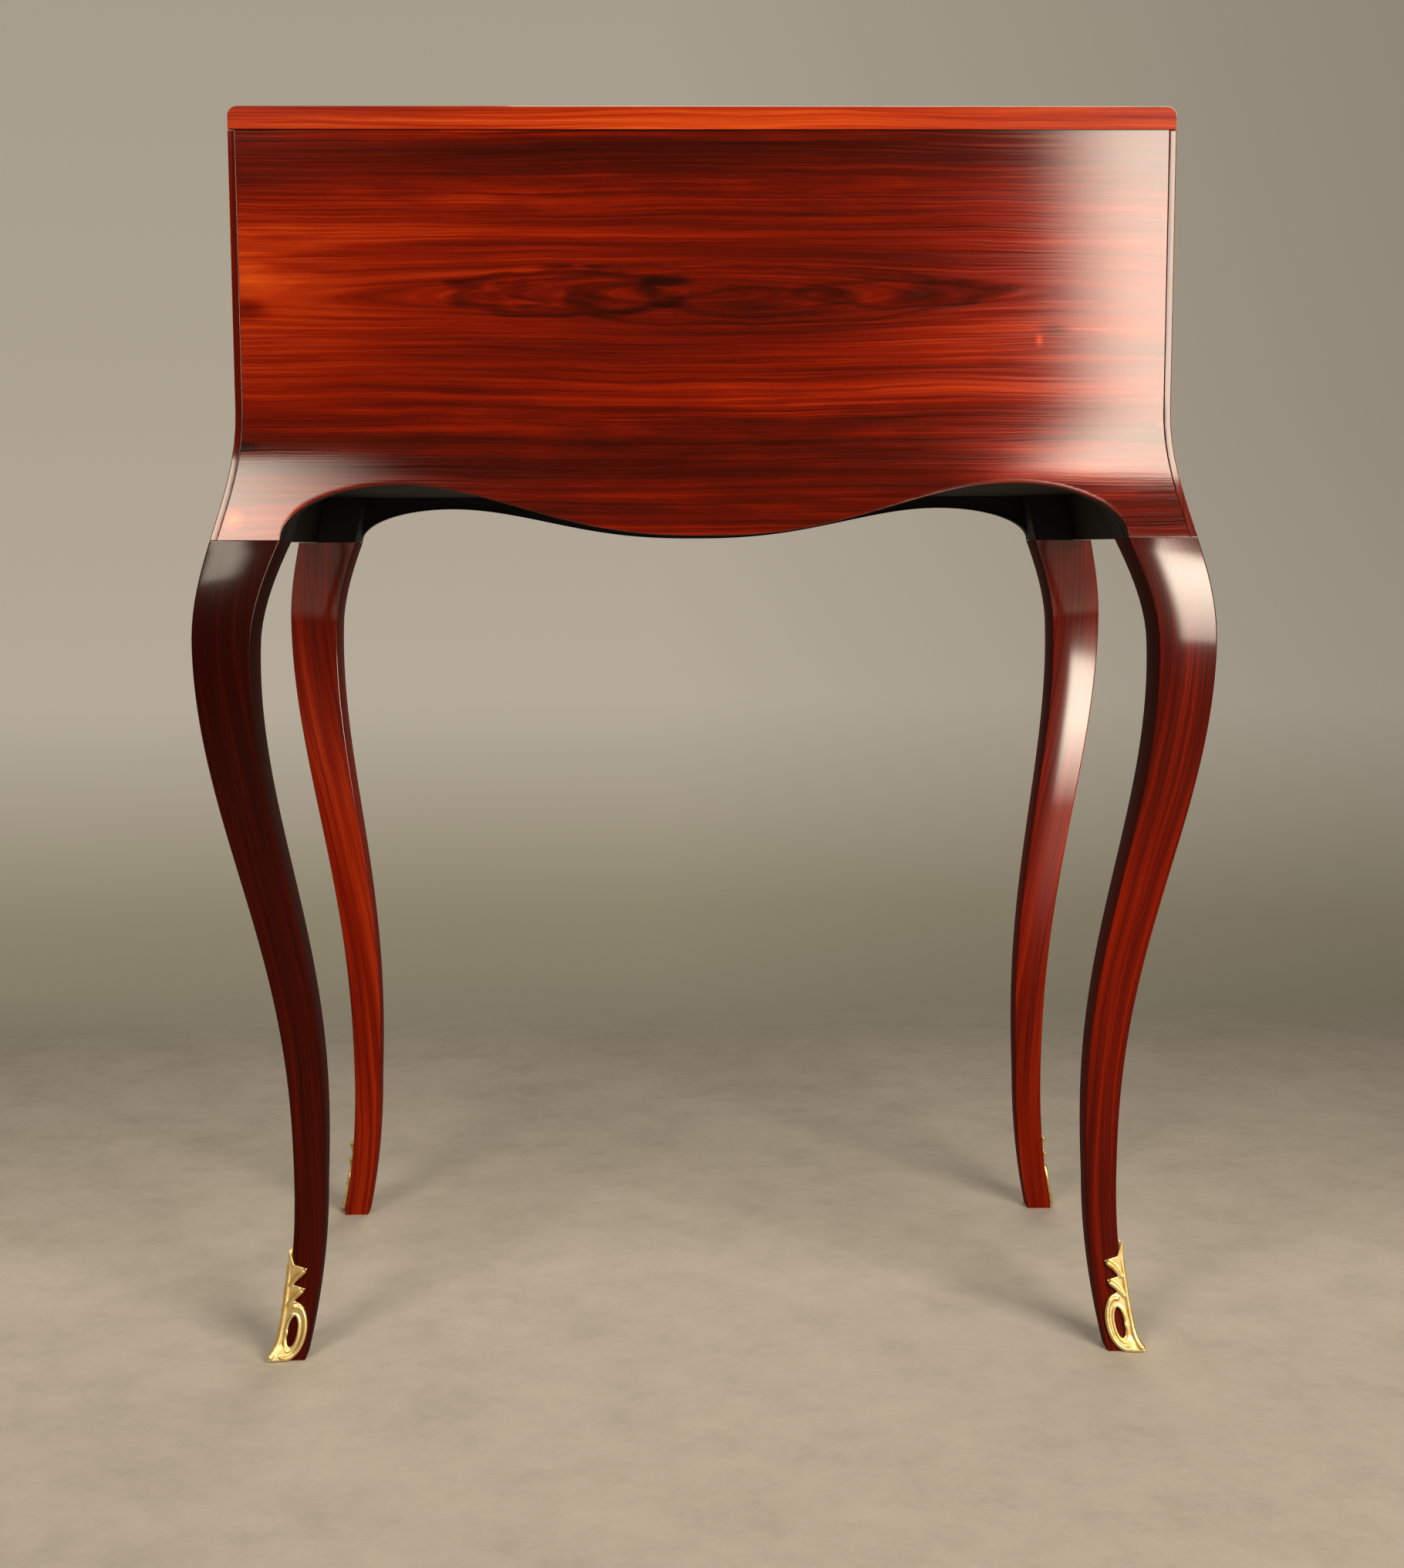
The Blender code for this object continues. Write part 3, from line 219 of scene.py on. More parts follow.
seen = add(tree, "Background", {"Color": sides, "Strength": 1.0})
room = add(tree, "Background", {"Color": linear(ROOM_COLOUR), "Strength": ROOM_LIGHT})
rays = add(tree, "LightPath").node.outputs
eye = maths(tree, "MAXIMUM", rays["Is Camera Ray"], rays["Is Glossy Ray"])
shown = add(tree, "MixShader", {0: eye, 1: room, 2: seen})
fill(tree.nodes.new("ShaderNodeOutputWorld"), {"Surface": shown})
print("stage ready")

# %% [markdown]
# Two softboxes stand left and right of the camera. The right one is placed so that its reflection lies
# on the last fifth of the back and on the knees, where the picture has it. The left one stands higher,
# so that only the flare of the case and the left knee mirror it. Their cloth is darker towards the
# camera, so that the reflections begin softly. A weak lamp overhead lifts the floor, and another one
# lights the front of the desk.

# %% Lamps
LAMPS = {
    "softbox_right": ((-1.08, 1.95, 1.04), (1.10, 1.12), 68.0),
    "softbox_left": ((0.82, 1.90, 1.76), (0.84, 0.72), 30.0),
    "overhead": ((0.0, 0.35, 2.60), (2.2, 1.6), 5.0),
    "front_fill": ((-0.5, -2.10, 1.70), (1.6, 1.2), 24.0),
}
SOFT_EDGE = {"softbox_right": (0.0, 0.18), "softbox_left": (1.0, 0.50)}
LAMP_COLOUR = "#fff0da"
DESK_MIDDLE = Vector((0, 0, 0.60))
for name, (spot, size, power) in LAMPS.items():
    bpy.ops.object.light_add(type="AREA", location=spot)
    lamp = bpy.context.object
    lamp.name = name
    lamp.rotation_euler = (DESK_MIDDLE - Vector(spot)).to_track_quat("-Z", "Y").to_euler()
    lamp.data.shape = "RECTANGLE"
    lamp.data.size, lamp.data.size_y = size
    lamp.data.energy = power
    lamp.data.color = linear(LAMP_COLOUR)[:3]
    lamp.visible_camera = False
    if name in SOFT_EDGE:
        lamp.data.use_nodes = True
        tree = lamp.data.node_tree
        across = add(tree, "NewGeometry", output="Parametric")
        across = add(tree, "SeparateXYZ", {0: across}, "X")
        cloth = rescale(tree, across, SOFT_EDGE[name], way="SMOOTHSTEP")
        fill(tree.nodes["Emission"], {"Strength": cloth})
bpy.context.scene.view_settings.view_transform = "Standard"
print(f"{len(LAMPS)} lamps")

# %% [markdown]
# Rosewood is dense, red-brown and streaked with nearly black lines. The veneer was cut through the
# heart of the log, so its growth rings show as long ovals round one place and as nearly level lines
# further off. A ring is a distance, so the figure is drawn as one: the distance from the heart, with
# the length along the grain divided by how much longer than wide the ovals are. That length is let
# fade out, so that the lines run level beyond the ovals. Streaks are noise drawn out along the rings.
# The back keeps its French polish. The ends, the top's edge and the legs are worn to a dull shine, and a
# clear coat on the legs stands for the polish that is left on them.

# %% Wood grain
STREAK = (0.30, 0.0048)
FIBRE = (0.12, 0.0011)
CLOUD = (0.50, 0.030)
RAGGED = (0.050, 0.010)
OVAL_REACH = 0.17
OVAL_STRETCH, PLAIN_STRETCH = 9.0, 14.0
SIDE_TURN = 0.06
SWAY_LENGTH = 0.30
SWAY_WIDTH = 0.07
SWAY_DEPTH = 0.016


def grain(tree, along, across, heart, stretch, attribute=None):
    """Sockets of a sawn board: place, added tone, rags, streaks, fibres and clouds."""
    if attribute:
        place = add(tree, "Attribute", output="Vector", attribute_name=attribute)
        tone = add(tree, "SeparateXYZ", {0: place}, "Z")
    else:
        place = add(tree, "TexCoord", output="Object")
        tone = add(tree, "Value")
    length = vectors(tree, "DOT_PRODUCT", place, along)
    width = vectors(tree, "DOT_PRODUCT", place, across)
    board = add(tree, "CombineXYZ", {"X": length, "Y": width})
    sway = noise(tree, vectors(tree, "MULTIPLY", board, (1 / SWAY_LENGTH, 1 / SWAY_WIDTH, 0.0)), 1.0, 4.0)
    drift = rescale(tree, sway, target=(-SWAY_DEPTH / 2, SWAY_DEPTH / 2))
    from_heart = maths(tree, "MULTIPLY", maths(tree, "SUBTRACT", length, heart[0]), 1 / OVAL_REACH)
    from_heart = maths(tree, "MULTIPLY", maths(tree, "TANH", from_heart), OVAL_REACH / stretch)
    off_line = maths(tree, "ADD", maths(tree, "SUBTRACT", width, heart[1]), drift)
    ring = add(tree, "CombineXYZ", {"X": from_heart, "Y": off_line})
    rings = add(tree, "CombineXYZ", {"X": length, "Y": vectors(tree, "LENGTH", ring), "Z": width})
    ragged = vectors(tree, "MULTIPLY", board, (1 / RAGGED[0], 1 / RAGGED[1], 0.0))

    def drawn_out(size, detail):
        scaled = vectors(tree, "MULTIPLY", rings, (1 / size[0], 1 / size[1], 1 / SIDE_TURN))
        return noise(tree, scaled, 1.0, detail, 0.55)

    return {
        "board": board,
        "tone": tone,
        "ragged": noise(tree, ragged, 1.0, 3.0),
        "streaks": drawn_out(STREAK, 5.0),
        "fibres": drawn_out(FIBRE, 2.0),
        "clouds": drawn_out(CLOUD, 1.0),
    }


def weigh(tree, shares, total=0.0):
    """The sum of sockets, each times its share."""
    for socket, share in shares:
        total = maths(tree, "MULTIPLY_ADD", socket, share, total)
    return total


STREAKS_IN_EDGE, RAGS_IN_EDGE = 0.5, 0.9
BLOT_MIDDLE = (STREAKS_IN_EDGE + RAGS_IN_EDGE) / 2
BLOT_EDGE = BLOT_MIDDLE + 1


def blot(tree, wood, spot, reach, line=None):
    """A mark on a board, 1 in its middle and fading raggedly to its edge, or a line along its rim."""
    off = vectors(tree, "SUBTRACT", wood["board"], (*spot, 0.0))
    off = vectors(tree, "MULTIPLY", off, (1 / reach[0], 1 / reach[1], 0.0))
    away = vectors(tree, "LENGTH", off)
    away = weigh(tree, [(wood["streaks"], STREAKS_IN_EDGE), (wood["ragged"], RAGS_IN_EDGE)], away)
    if line:
        away = maths(tree, "ABSOLUTE", maths(tree, "SUBTRACT", away, BLOT_EDGE))
        away = maths(tree, "MULTIPLY_ADD", away, 1 / line, BLOT_MIDDLE)
    return rescale(tree, away, (BLOT_EDGE, BLOT_MIDDLE), way="SMOOTHSTEP")


PORES = {"Strength": 0.08, "Distance": 0.0003}


def polish(tree, shader, colour, fibres, gloss, shine):
    """French polish: the colour under a clear gloss that the pores of the wood just break."""
    rough = rescale(tree, fibres, (0.35, 0.65), gloss)
    bump = add(tree, "Bump", {"Height": fibres, **PORES})
    fill(shader, {"Base Color": colour, "Roughness": rough, "Normal": bump, "Specular IOR Level": shine})


ROSEWOOD = [(0.10, "#220502"), (0.26, "#380802"), (0.38, "#4d0b02"), (0.50, "#6d1302")]
ROSEWOOD += [(0.62, "#8e2606"), (0.74, "#ad4011"), (0.88, "#cb6529")]
STREAK_SHARE, FIBRE_SHARE, CLOUD_SHARE = 0.46, 0.27, 0.36
FRENCH_POLISH = (0.07, 0.12)
LEVEL_TONE = 0.46 - (STREAK_SHARE + FIBRE_SHARE + CLOUD_SHARE) / 2


def rosewood(name, along, across, heart, tone=0.0, marks=(), attribute=None, gloss=FRENCH_POLISH, shine=0.5):
    """Polished rosewood; marks give the tone, spot and reach of its knots, bands and patches, some of them
    painted highlight.
    """
    material, tree, shader = new_finish(name)
    wood = grain(tree, along, across, heart, OVAL_STRETCH, attribute)
    shares = [(wood["streaks"], STREAK_SHARE), (wood["fibres"], FIBRE_SHARE), (wood["clouds"], CLOUD_SHARE)]
    shares += [(wood["tone"], 1.0), *((blot(tree, wood, *mark), depth) for depth, *mark in marks)]
    value = weigh(tree, shares, LEVEL_TONE + tone)
    polish(tree, shader, ramp(tree, value, ROSEWOOD), wood["fibres"], gloss, shine)
    return material


ALONG_X, ALONG_Y, ALONG_Z = (1, 0, 0), (0, 1, 0), (0, 0, 1)
STRAIGHT = 0.6
HEART = (0.010, 0.822)
ENDLESS = 9.0
BACK_MARKS_AND_SHEEN = [
    (-0.12, (0.0, 0.922), (ENDLESS, 0.046)),
    (-0.13, (0.0, 0.690), (ENDLESS, 0.065)),
    (-0.06, (0.03, 0.80), (0.30, 0.22)),
    (0.09, (0.0, 0.640), (0.20, 0.026)),
    (0.08, (0.16, 0.866), (0.34, 0.012)),
    # These five lighter patches at the ends lie under the lamps' reflections: partly the wood's own tone,
    # partly painted highlight.
    (0.10, (0.36, 0.80), (0.16, 0.12)),
    (0.10, (-0.27, 0.81), (0.17, 0.15)),
    (0.12, (-0.29, 0.925), (0.13, 0.045)),
    (0.20, (-0.27, 0.690), (0.12, 0.050)),
    (0.14, (0.31, 0.665), (0.11, 0.040)),
    (0.12, (0.338, 0.838), (0.055, 0.026)),
    (-0.07, HEART, (0.20, 0.026)),
    (-0.16, (0.105, 0.823), (0.075, 0.017), 0.20),
    (-0.13, (0.060, 0.820), (0.040, 0.010), 0.30),
    (-0.09, (-0.020, 0.822), (0.170, 0.021), 0.14),
    (-0.12, (-0.040, 0.817), (0.065, 0.010), 0.30),
    (-0.10, (-0.140, 0.823), (0.070, 0.009), 0.30),
    (-0.36, (0.029, 0.832), (0.026, 0.006)),
    (-0.20, (-0.160, 0.822), (0.036, 0.009)),
    (-0.12, (0.087, 0.817), (0.022, 0.011)),
    (-0.12, (-0.043, 0.812), (0.060, 0.008)),
    (-0.22, (0.339, 0.812), (0.026, 0.010)),
    (-0.30, (0.0, 0.9416), (ENDLESS, 0.0016)),
    (0.22, (-0.250, 0.789), (0.0045, 0.006)),
    (-0.20, (-0.261, 0.797), (0.020, 0.006)),
    (-0.34, (0.346, 0.7105), (0.018, 0.005)),
    (0.30, (0.351, 0.657), (0.012, 0.011)),
    (0.34, (-0.343, 0.7264), (0.005, 0.0022)),
]
back_veneer = rosewood("rosewood_back_veneer", ALONG_X, ALONG_Z, HEART, marks=BACK_MARKS_AND_SHEEN)
level_veneer = rosewood("rosewood_level_veneer", ALONG_X, (0, 0.7, 0.7), (0.05, 0.15))
WORN = {"gloss": (0.24, 0.34), "shine": 0.06}
edge_veneer = rosewood("rosewood_worn_edge", ALONG_X, ALONG_Z, (0.0, STRAIGHT), tone=0.15, **WORN)
upright_veneer = rosewood("rosewood_upright_strip", ALONG_Z, ALONG_X, (0.0, STRAIGHT), tone=-0.14)
DULL = {"gloss": (0.5, 0.6), "shine": 0.03}
side_veneer = rosewood("rosewood_side_veneer", ALONG_Y, ALONG_Z, (0.02, 0.80), **DULL)
ON_LEG = {"along": ALONG_X, "across": ALONG_Y, "heart": (0.0, STRAIGHT), "attribute": "grain"}
leg_wood = rosewood("rosewood_leg", **ON_LEG, **WORN)
dull_leg_wood = rosewood("rosewood_leg_inside", **ON_LEG, tone=-0.06, gloss=(0.7, 0.8), shine=0.06)
tree = leg_wood.node_tree
shader = tree.nodes["Principled BSDF"]
polish_left = add(tree, "Attribute", output="Fac", attribute_name="polish")
fill(shader, {"Coat Weight": polish_left, "Coat Roughness": 0.12, "Coat IOR": 1.6})
loper_wood = rosewood("rosewood_slide", ALONG_Y, (1, 0, 1), (0, STRAIGHT))
# A near-black stain: the carcass's own dark stain, and painted shade where undersides and hidden faces lie
# in shadow.
DARK_STAIN_AND_SHADE = [(0.35, "#040303"), (0.50, "#080605"), (0.65, "#0e0b08")]
INTERIOR = [(0.30, "#4f2109"), (0.45, "#7a3b17"), (0.55, "#8f4c20"), (0.70, "#a9652f")]


def plain_wood(name, colours, gloss, shine=0.5):
    """Straight-grained wood with a thin finish, for the parts inside and underneath."""
    material, tree, shader = new_finish(name)
    wood = grain(tree, ALONG_X, (0, 1, 1), (0.0, STRAIGHT), PLAIN_STRETCH)
    shares = [(wood["streaks"], 0.45), (wood["fibres"], 0.30), (wood["clouds"], 0.25)]
    polish(tree, shader, ramp(tree, weigh(tree, shares), colours), wood["fibres"], gloss, shine)
    return material


stain_and_shade_wood = plain_wood("stained_carcass_wood", DARK_STAIN_AND_SHADE, (0.6, 0.8), 0.15)
inside_wood = plain_wood("interior_mahogany", INTERIOR, (0.35, 0.5))
print("woods ready")

# %% [markdown]
# The bronze is gilded by fire, which leaves a pale, slightly matte gold that wanders in tone. The brass
# is lacquered, and key and bolt are filed steel. The leather is dyed calf, its pores closed by wax.

# %% Metals and leather
def metal(name, dark, pale, smooth, rough, grit):
    """A metal whose tone and gloss wander a little, in patches of the size of the grit."""
    material, tree, shader = new_finish(name)
    patches = noise(tree, add(tree, "TexCoord", output="Object"), 1 / grit, 4.0, 0.6)
    tone = ramp(tree, patches, [(0.35, dark), (0.62, pale)])
    gloss = rescale(tree, patches, (0.3, 0.7), (rough, smooth))
    fill(shader, {"Base Color": tone, "Roughness": gloss, "Metallic": 1.0})
    return material


gilt_bronze = metal("fire_gilt_bronze", "#d9b566", "#f2dfa6", 0.34, 0.52, 0.006)
brass = metal("lacquered_brass", "#a67c3a", "#d8b468", 0.22, 0.38, 0.004)
steel = metal("filed_steel", "#6b6762", "#a09c95", 0.28, 0.45, 0.003)
gold_leaf = metal("gold_leaf", "#a8853c", "#d6b765", 0.40, 0.60, 0.002)

LEATHER_DYE = [(0.3, "#1b2b17"), (0.55, "#2b3f22"), (0.75, "#40512c")]
LEATHER_PORE = 0.0016
LEATHER_WEAR = 0.09
leather, tree, shader = new_finish("waxed_calf_leather")
place = add(tree, "TexCoord", output="Object")
pores = add(tree, "TexVoronoi", {"Vector": place, "Scale": 1 / LEATHER_PORE}, "Distance")
dye = ramp(tree, noise(tree, place, 1 / LEATHER_WEAR, 5.0), LEATHER_DYE)
bump = add(tree, "Bump", {"Height": pores, "Strength": 0.25, "Distance": 0.0003})
fill(shader, {"Base Color": dye, "Normal": bump, "Roughness": 0.45})
print("metals and leather ready")

# %% [markdown]
# Modelling by hand in Blender means one object active, the right things selected, and a modifier
# applied when its shape is settled. These helpers do just that.

# %% Helpers for modelling
MILLIMETRE = 0.001
FRONTWARDS, BACKWARDS, UPWARDS = Vector((0, -1, 0)), Vector((0, 1, 0)), Vector((0, 0, 1))


def activate(obj):
    """Makes one object the only selected and active one."""
    bpy.ops.object.select_all(action="DESELECT")
    obj.select_set(True)
    bpy.context.view_layer.objects.active = obj


def apply_modifier(obj, kind, **settings):
    """Adds a modifier and applies it at once."""
    activate(obj)
    modifier = obj.modifiers.new(kind.lower(), kind)
    for setting, value in settings.items():
        setattr(modifier, setting, value)
    bpy.ops.object.modifier_apply(modifier=modifier.name)


def edit(obj, action="SELECT"):
    """Goes into edit mode on an object, with all of it selected or, by DESELECT, nothing."""
    activate(obj)
    bpy.ops.object.mode_set(mode="EDIT")
    bpy.ops.mesh.select_all(action=action)


def leave_edit():
    """Goes back to object mode."""
    bpy.ops.object.mode_set(mode="OBJECT")


def join(first, *others):
    """Joins objects into the first of them."""
    activate(first)
    for obj in others:
        obj.select_set(True)
    bpy.ops.object.join()


def mend(obj):
    """Merges doubles and turns all faces outwards."""
    edit(obj)
    bpy.ops.mesh.remove_doubles(threshold=0.00002)
    bpy.ops.mesh.normals_make_consistent(inside=False)
    leave_edit()


def smooth(obj, angle=35):
    """Shades an object smoothly, except across edges that are sharper than the angle."""
    activate(obj)
    bpy.ops.object.shade_smooth_by_angle(angle=math.radians(angle))


def keep_flat(obj):
    """Turns each corner's normal to its largest face, so that flat faces also look flat."""
    apply_modifier(obj, "WEIGHTED_NORMAL", keep_sharp=True)


def curve_mesh(spots, round_section=False, closed=False):
    """The mesh of a smooth curve along spots of x, y, z and radius: a line, or a round bar."""
    bpy.ops.curve.primitive_nurbs_path_add()
    curve = bpy.context.object
    curve.data.splines.clear()
    spline = curve.data.splines.new("NURBS")
    spline.points.add(len(spots) - 1)
    for point, (x, y, z, radius) in zip(spline.points, spots):
        point.co = (x, y, z, 1)
        point.radius = radius
    spline.use_endpoint_u = not closed
    spline.use_cyclic_u = closed
    spline.order_u = 3
    if round_section:
        curve.data.bevel_depth = 1.0
        curve.data.bevel_resolution = 4
        curve.data.use_fill_caps = True
    else:
        curve.data.resolution_u = 4
    bpy.ops.object.convert(target="MESH")
    return bpy.context.object


def pick_faces(obj, out):
    """Goes into edit mode with only those faces selected that look the given way."""
    edit(obj, "DESELECT")
    bpy.ops.mesh.select_mode(type="FACE")
    leave_edit()
    for face in obj.data.polygons:
        face.select = face.normal.dot(out) > 0.99
    bpy.ops.object.mode_set(mode="EDIT")


def settle(obj, matrix):
    """Moves an object by a matrix and applies that to its mesh."""
    activate(obj)
    obj.matrix_world = matrix
    bpy.ops.object.transform_apply(location=True, rotation=True, scale=True)


def moved_copy(obj, matrix):
    """A copy with its own mesh, settled in another place."""
    activate(obj)
    bpy.ops.object.duplicate()
    copy = bpy.context.object
    settle(copy, matrix)
    return copy


def solid_copy(name):
    """A new object with a copy of a solid's mesh."""
    copy = bpy.data.objects.new(name, nodes[name].data.copy())
    bpy.context.scene.collection.objects.link(copy)
    return copy


def block(middle, size):
    """A box to cut with or to shape further."""
    bpy.ops.mesh.primitive_cube_add(size=1)
    obj = bpy.context.object
    settle(obj, Matrix.Translation(middle) @ Matrix.Diagonal((*size, 1)))
    return obj


def carve(obj, cutter):
    """Takes the shape of a cutter out of an object."""
    apply_modifier(obj, "BOOLEAN", object=cutter, operation="DIFFERENCE", solver="EXACT")
    bpy.data.objects.remove(cutter)


def place_piece(obj, name, stands_for, *finishes):
    """Names a piece, gives it its finishes, and lets it stand for a solid and ride on its body."""
    obj.name = obj.data.name = name
    obj.data.materials.clear()
    for finish in finishes:
        obj.data.materials.append(finish)
    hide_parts(stands_for)
    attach(obj, body_of[stands_for])


# %% [markdown]
# One S-curve runs through the whole desk: it is the outline of the legs, and goes on up into the flare
# of the case until the walls stand upright. The same few sizes as in the solids give it here.

# %% The curve of legs and case
GAP = 0.0003
PANEL = 0.016
HALF_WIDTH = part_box("top_board")[1].x
HALF_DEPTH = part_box("top_board")[1].y
SEAM_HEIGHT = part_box("back_panel")[0].z - GAP
TOP_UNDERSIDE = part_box("top_board")[0].z
BED_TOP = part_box("writing_bed")[1].z
KNEE_HEIGHT = 0.565
FLARE_TOP = 0.737
KNEE_FLARE = 0.031
SEAM_WIDTH = 0.052
KNEE_WIDTH = 0.0435
ANKLE_HEIGHT = 0.135
ANKLE_WIDTH = 0.0240
ANKLE_INSET = 0.0244
FOOT_WIDTH = 0.0225
TOE_INSET = 0.0096
LEG_SKEW = 1.2
BRACKET_SKEW = 1.3


def share_of(value, low, high):
    """How far a value has come from low to high, from 0 to 1."""
    return min(1.0, max(0.0, (value - low) / (high - low)))


def swell(share, skew=1.0):
    """A smooth rise from 0 to 1 in half a cosine wave, which a skew above 1 delays."""
    return (1 - math.cos(math.pi * share**skew)) / 2


def flare(z):
    """How far the outer faces stand out from the upright walls of the case at height z."""
    if z <= ANKLE_HEIGHT:
        return -ANKLE_INSET + (ANKLE_INSET - TOE_INSET) * (1 - z / ANKLE_HEIGHT) ** 2
    if z <= KNEE_HEIGHT:
        share = share_of(z, ANKLE_HEIGHT, KNEE_HEIGHT)
        return -ANKLE_INSET + (ANKLE_INSET + KNEE_FLARE) * swell(share, LEG_SKEW)
    return KNEE_FLARE * (1 - swell(share_of(z, KNEE_HEIGHT, FLARE_TOP)))


def leg_width(z):
    """The side of the leg's square section at height z."""
    if z <= ANKLE_HEIGHT:
        return FOOT_WIDTH + (ANKLE_WIDTH - FOOT_WIDTH) * z / ANKLE_HEIGHT
    if z <= KNEE_HEIGHT:
        return ANKLE_WIDTH + (KNEE_WIDTH - ANKLE_WIDTH) * share_of(z, ANKLE_HEIGHT, KNEE_HEIGHT)
    return KNEE_WIDTH + (SEAM_WIDTH - KNEE_WIDTH) * share_of(z, KNEE_HEIGHT, SEAM_HEIGHT) ** BRACKET_SKEW


def span(low, high, steps):
    """Evenly spaced values from low to high."""
    return [low + (high - low) * i / steps for i in range(steps + 1)]


def oval(middle, radii, turns, steps):
    """Points of an oval between two angles in degrees."""
    angles = [math.radians(turn) for turn in span(*turns, steps)]
    return [(middle[0] + radii[0] * math.cos(a), middle[1] + radii[1] * math.sin(a)) for a in angles]


print(f"knee stands out {1000 * flare(KNEE_HEIGHT):.1f} mm, ankle {1000 * flare(ANKLE_HEIGHT):.1f} mm")

# %% [markdown]
# A cabriole leg is sawn from a square balk along two curves and then shaved. Here a square the size of
# the foot is extruded upwards in short steps, and each step is moved and scaled to the curve. Above the
# seam the leg goes on as a thinner post behind the panels, which rest on its shoulder. Each point of a
# leg keeps its place on the grain, and how much polish wear has left there.

# %% Legs
LEG_STEPS, POST_STEPS = 72, 10
ARRIS = 0.0011
POST_EASE = 0.0004
POST_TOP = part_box("leg_back_right")[1].z


def section(z, recess=0.0):
    """Middle and side of the leg's square at height z, set back by the recess on its outer faces."""
    width = leg_width(z) - recess
    out = flare(z) - recess - width / 2
    return Vector((HALF_WIDTH + out, HALF_DEPTH + out, z)), width


def extrude_to(start, end):
    """Extrudes the selected square from one section to the next."""
    (middle, width), (next_middle, next_width) = start, end
    bpy.ops.mesh.extrude_region_move(TRANSFORM_OT_translate={"value": next_middle - middle})
    ratio = next_width / width
    bpy.ops.transform.resize(value=(ratio, ratio, 1), center_override=next_middle)


def model_leg():
    """One leg, at the corner of +X and +Y."""
    sections = [section(z) for z in span(0.0, SEAM_HEIGHT, LEG_STEPS)]
    for z in span(SEAM_HEIGHT, FLARE_TOP, POST_STEPS) + [POST_TOP]:
        middle, width = section(z, PANEL + GAP)
        sections.append((middle, width - POST_EASE))
    bpy.ops.mesh.primitive_plane_add(size=sections[0][1])
    leg = bpy.context.object
    settle(leg, Matrix.Translation(sections[0][0]))
    edit(leg)
    bpy.ops.mesh.select_mode(type="FACE")
    for start, end in zip(sections, sections[1:]):
        extrude_to(start, end)
    bpy.ops.mesh.select_all(action="SELECT")
    bpy.ops.mesh.normals_make_consistent(inside=False)
    bpy.ops.mesh.select_all(action="DESELECT")
    leave_edit()
    for edge in leg.data.edges:
        low, high = sorted(leg.data.vertices[i].co.z for i in edge.vertices)
        edge.select = high - low > GAP and high <= SEAM_HEIGHT + GAP
    bpy.ops.object.mode_set(mode="EDIT")
    bpy.ops.mesh.select_mode(type="EDGE")
    bpy.ops.mesh.bevel(offset=ARRIS, segments=3, profile=0.5)
    leave_edit()
    return leg


def mirrored_copies(obj, stem):
    """Four copies of a corner piece by name, one for each corner of the desk."""
    made = {}
    for end, y in (("front", -1), ("back", 1)):
        for side, x in (("left", -1), ("right", 1)):
            copy = moved_copy(obj, Matrix.Diagonal((x, y, 1, 1)))
            mend(copy)
            made[f"{stem}_{end}_{side}"] = copy
    bpy.data.objects.remove(obj)
    return made


LEG_TONES = {"front_left": 0.05, "front_right": 0.08, "back_left": -0.08, "back_right": -0.22}
LEG_POLISH = {"back_right": 0.25}
CALF_HEIGHT, KNEE_DARKER = 0.38, 0.12
WORN_OUTSIDE, WORN_INSIDE = (0.54, 0.61), (0.39, 0.47)


def mark_grain(leg, offset, tone):
    """Stores each point's place along and across the grain, so that the streaks follow the curve."""
    places = leg.data.attributes.new("grain", "FLOAT_VECTOR", "POINT")
    for vert, place in zip(leg.data.vertices, places.data):
        corner = HALF_WIDTH + HALF_DEPTH + 2 * flare(vert.co.z)
        knee = share_of(vert.co.z, CALF_HEIGHT, KNEE_HEIGHT)
        across = corner - abs(vert.co.x) - abs(vert.co.y)
        place.vector = (vert.co.z, across + offset, tone - KNEE_DARKER * knee)


def mark_polish(leg, share):
    """Stores how much of the polish is left: all of it at the knee, and none near the floor."""
    polish_left = leg.data.attributes.new("polish", "FLOAT", "POINT")
    for vert, left in zip(leg.data.vertices, polish_left.data):
        looks_in = vert.normal.y * vert.co.y < -0.5 * abs(vert.co.y)
        left.value = share * share_of(vert.co.z, *(WORN_INSIDE if looks_in else WORN_OUTSIDE))


def finish_leg_faces(leg):
    """The post inside the case gets the near-black stain, partly painted shade, and the faces that look at
    the other leg are left dull.
    """
    for face in leg.data.polygons:
        if face.center.z > SEAM_HEIGHT - GAP:
            face.material_index = 2
        elif face.normal.x * face.center.x < -0.7 * abs(face.center.x):
            face.material_index = 1


for count, (name, leg) in enumerate(mirrored_copies(model_leg(), "leg").items()):
    smooth(leg)
    corner = name.removeprefix("leg_")
    mark_grain(leg, count, LEG_TONES[corner])
    mark_polish(leg, LEG_POLISH.get(corner, 1.0))
    place_piece(leg, f"{name}_polished", name, leg_wood, dull_leg_wood, stain_and_shade_wood)
    finish_leg_faces(leg)
print("legs:", len(leg.data.polygons), "faces each")

# %% [markdown]
# The sabots are cast bronze, modelled in wax first: a thin wing on each outer face of the foot, a thick
# C-scroll with a groove round its hole, two curled lobes, and a stem along the corner that runs out into
# the toe. The wax is rolled in strands here too. They are laid on the wings of the solid, melted into
# one skin and smoothed, which leaves the soft edges of a cast.

# %% Sabots
SABOT_TOE, SABOT_TOE_HEIGHT, SCROLL_REACH = 0.0045, 0.014, 0.0195
SKIN_GRAIN = 0.00045


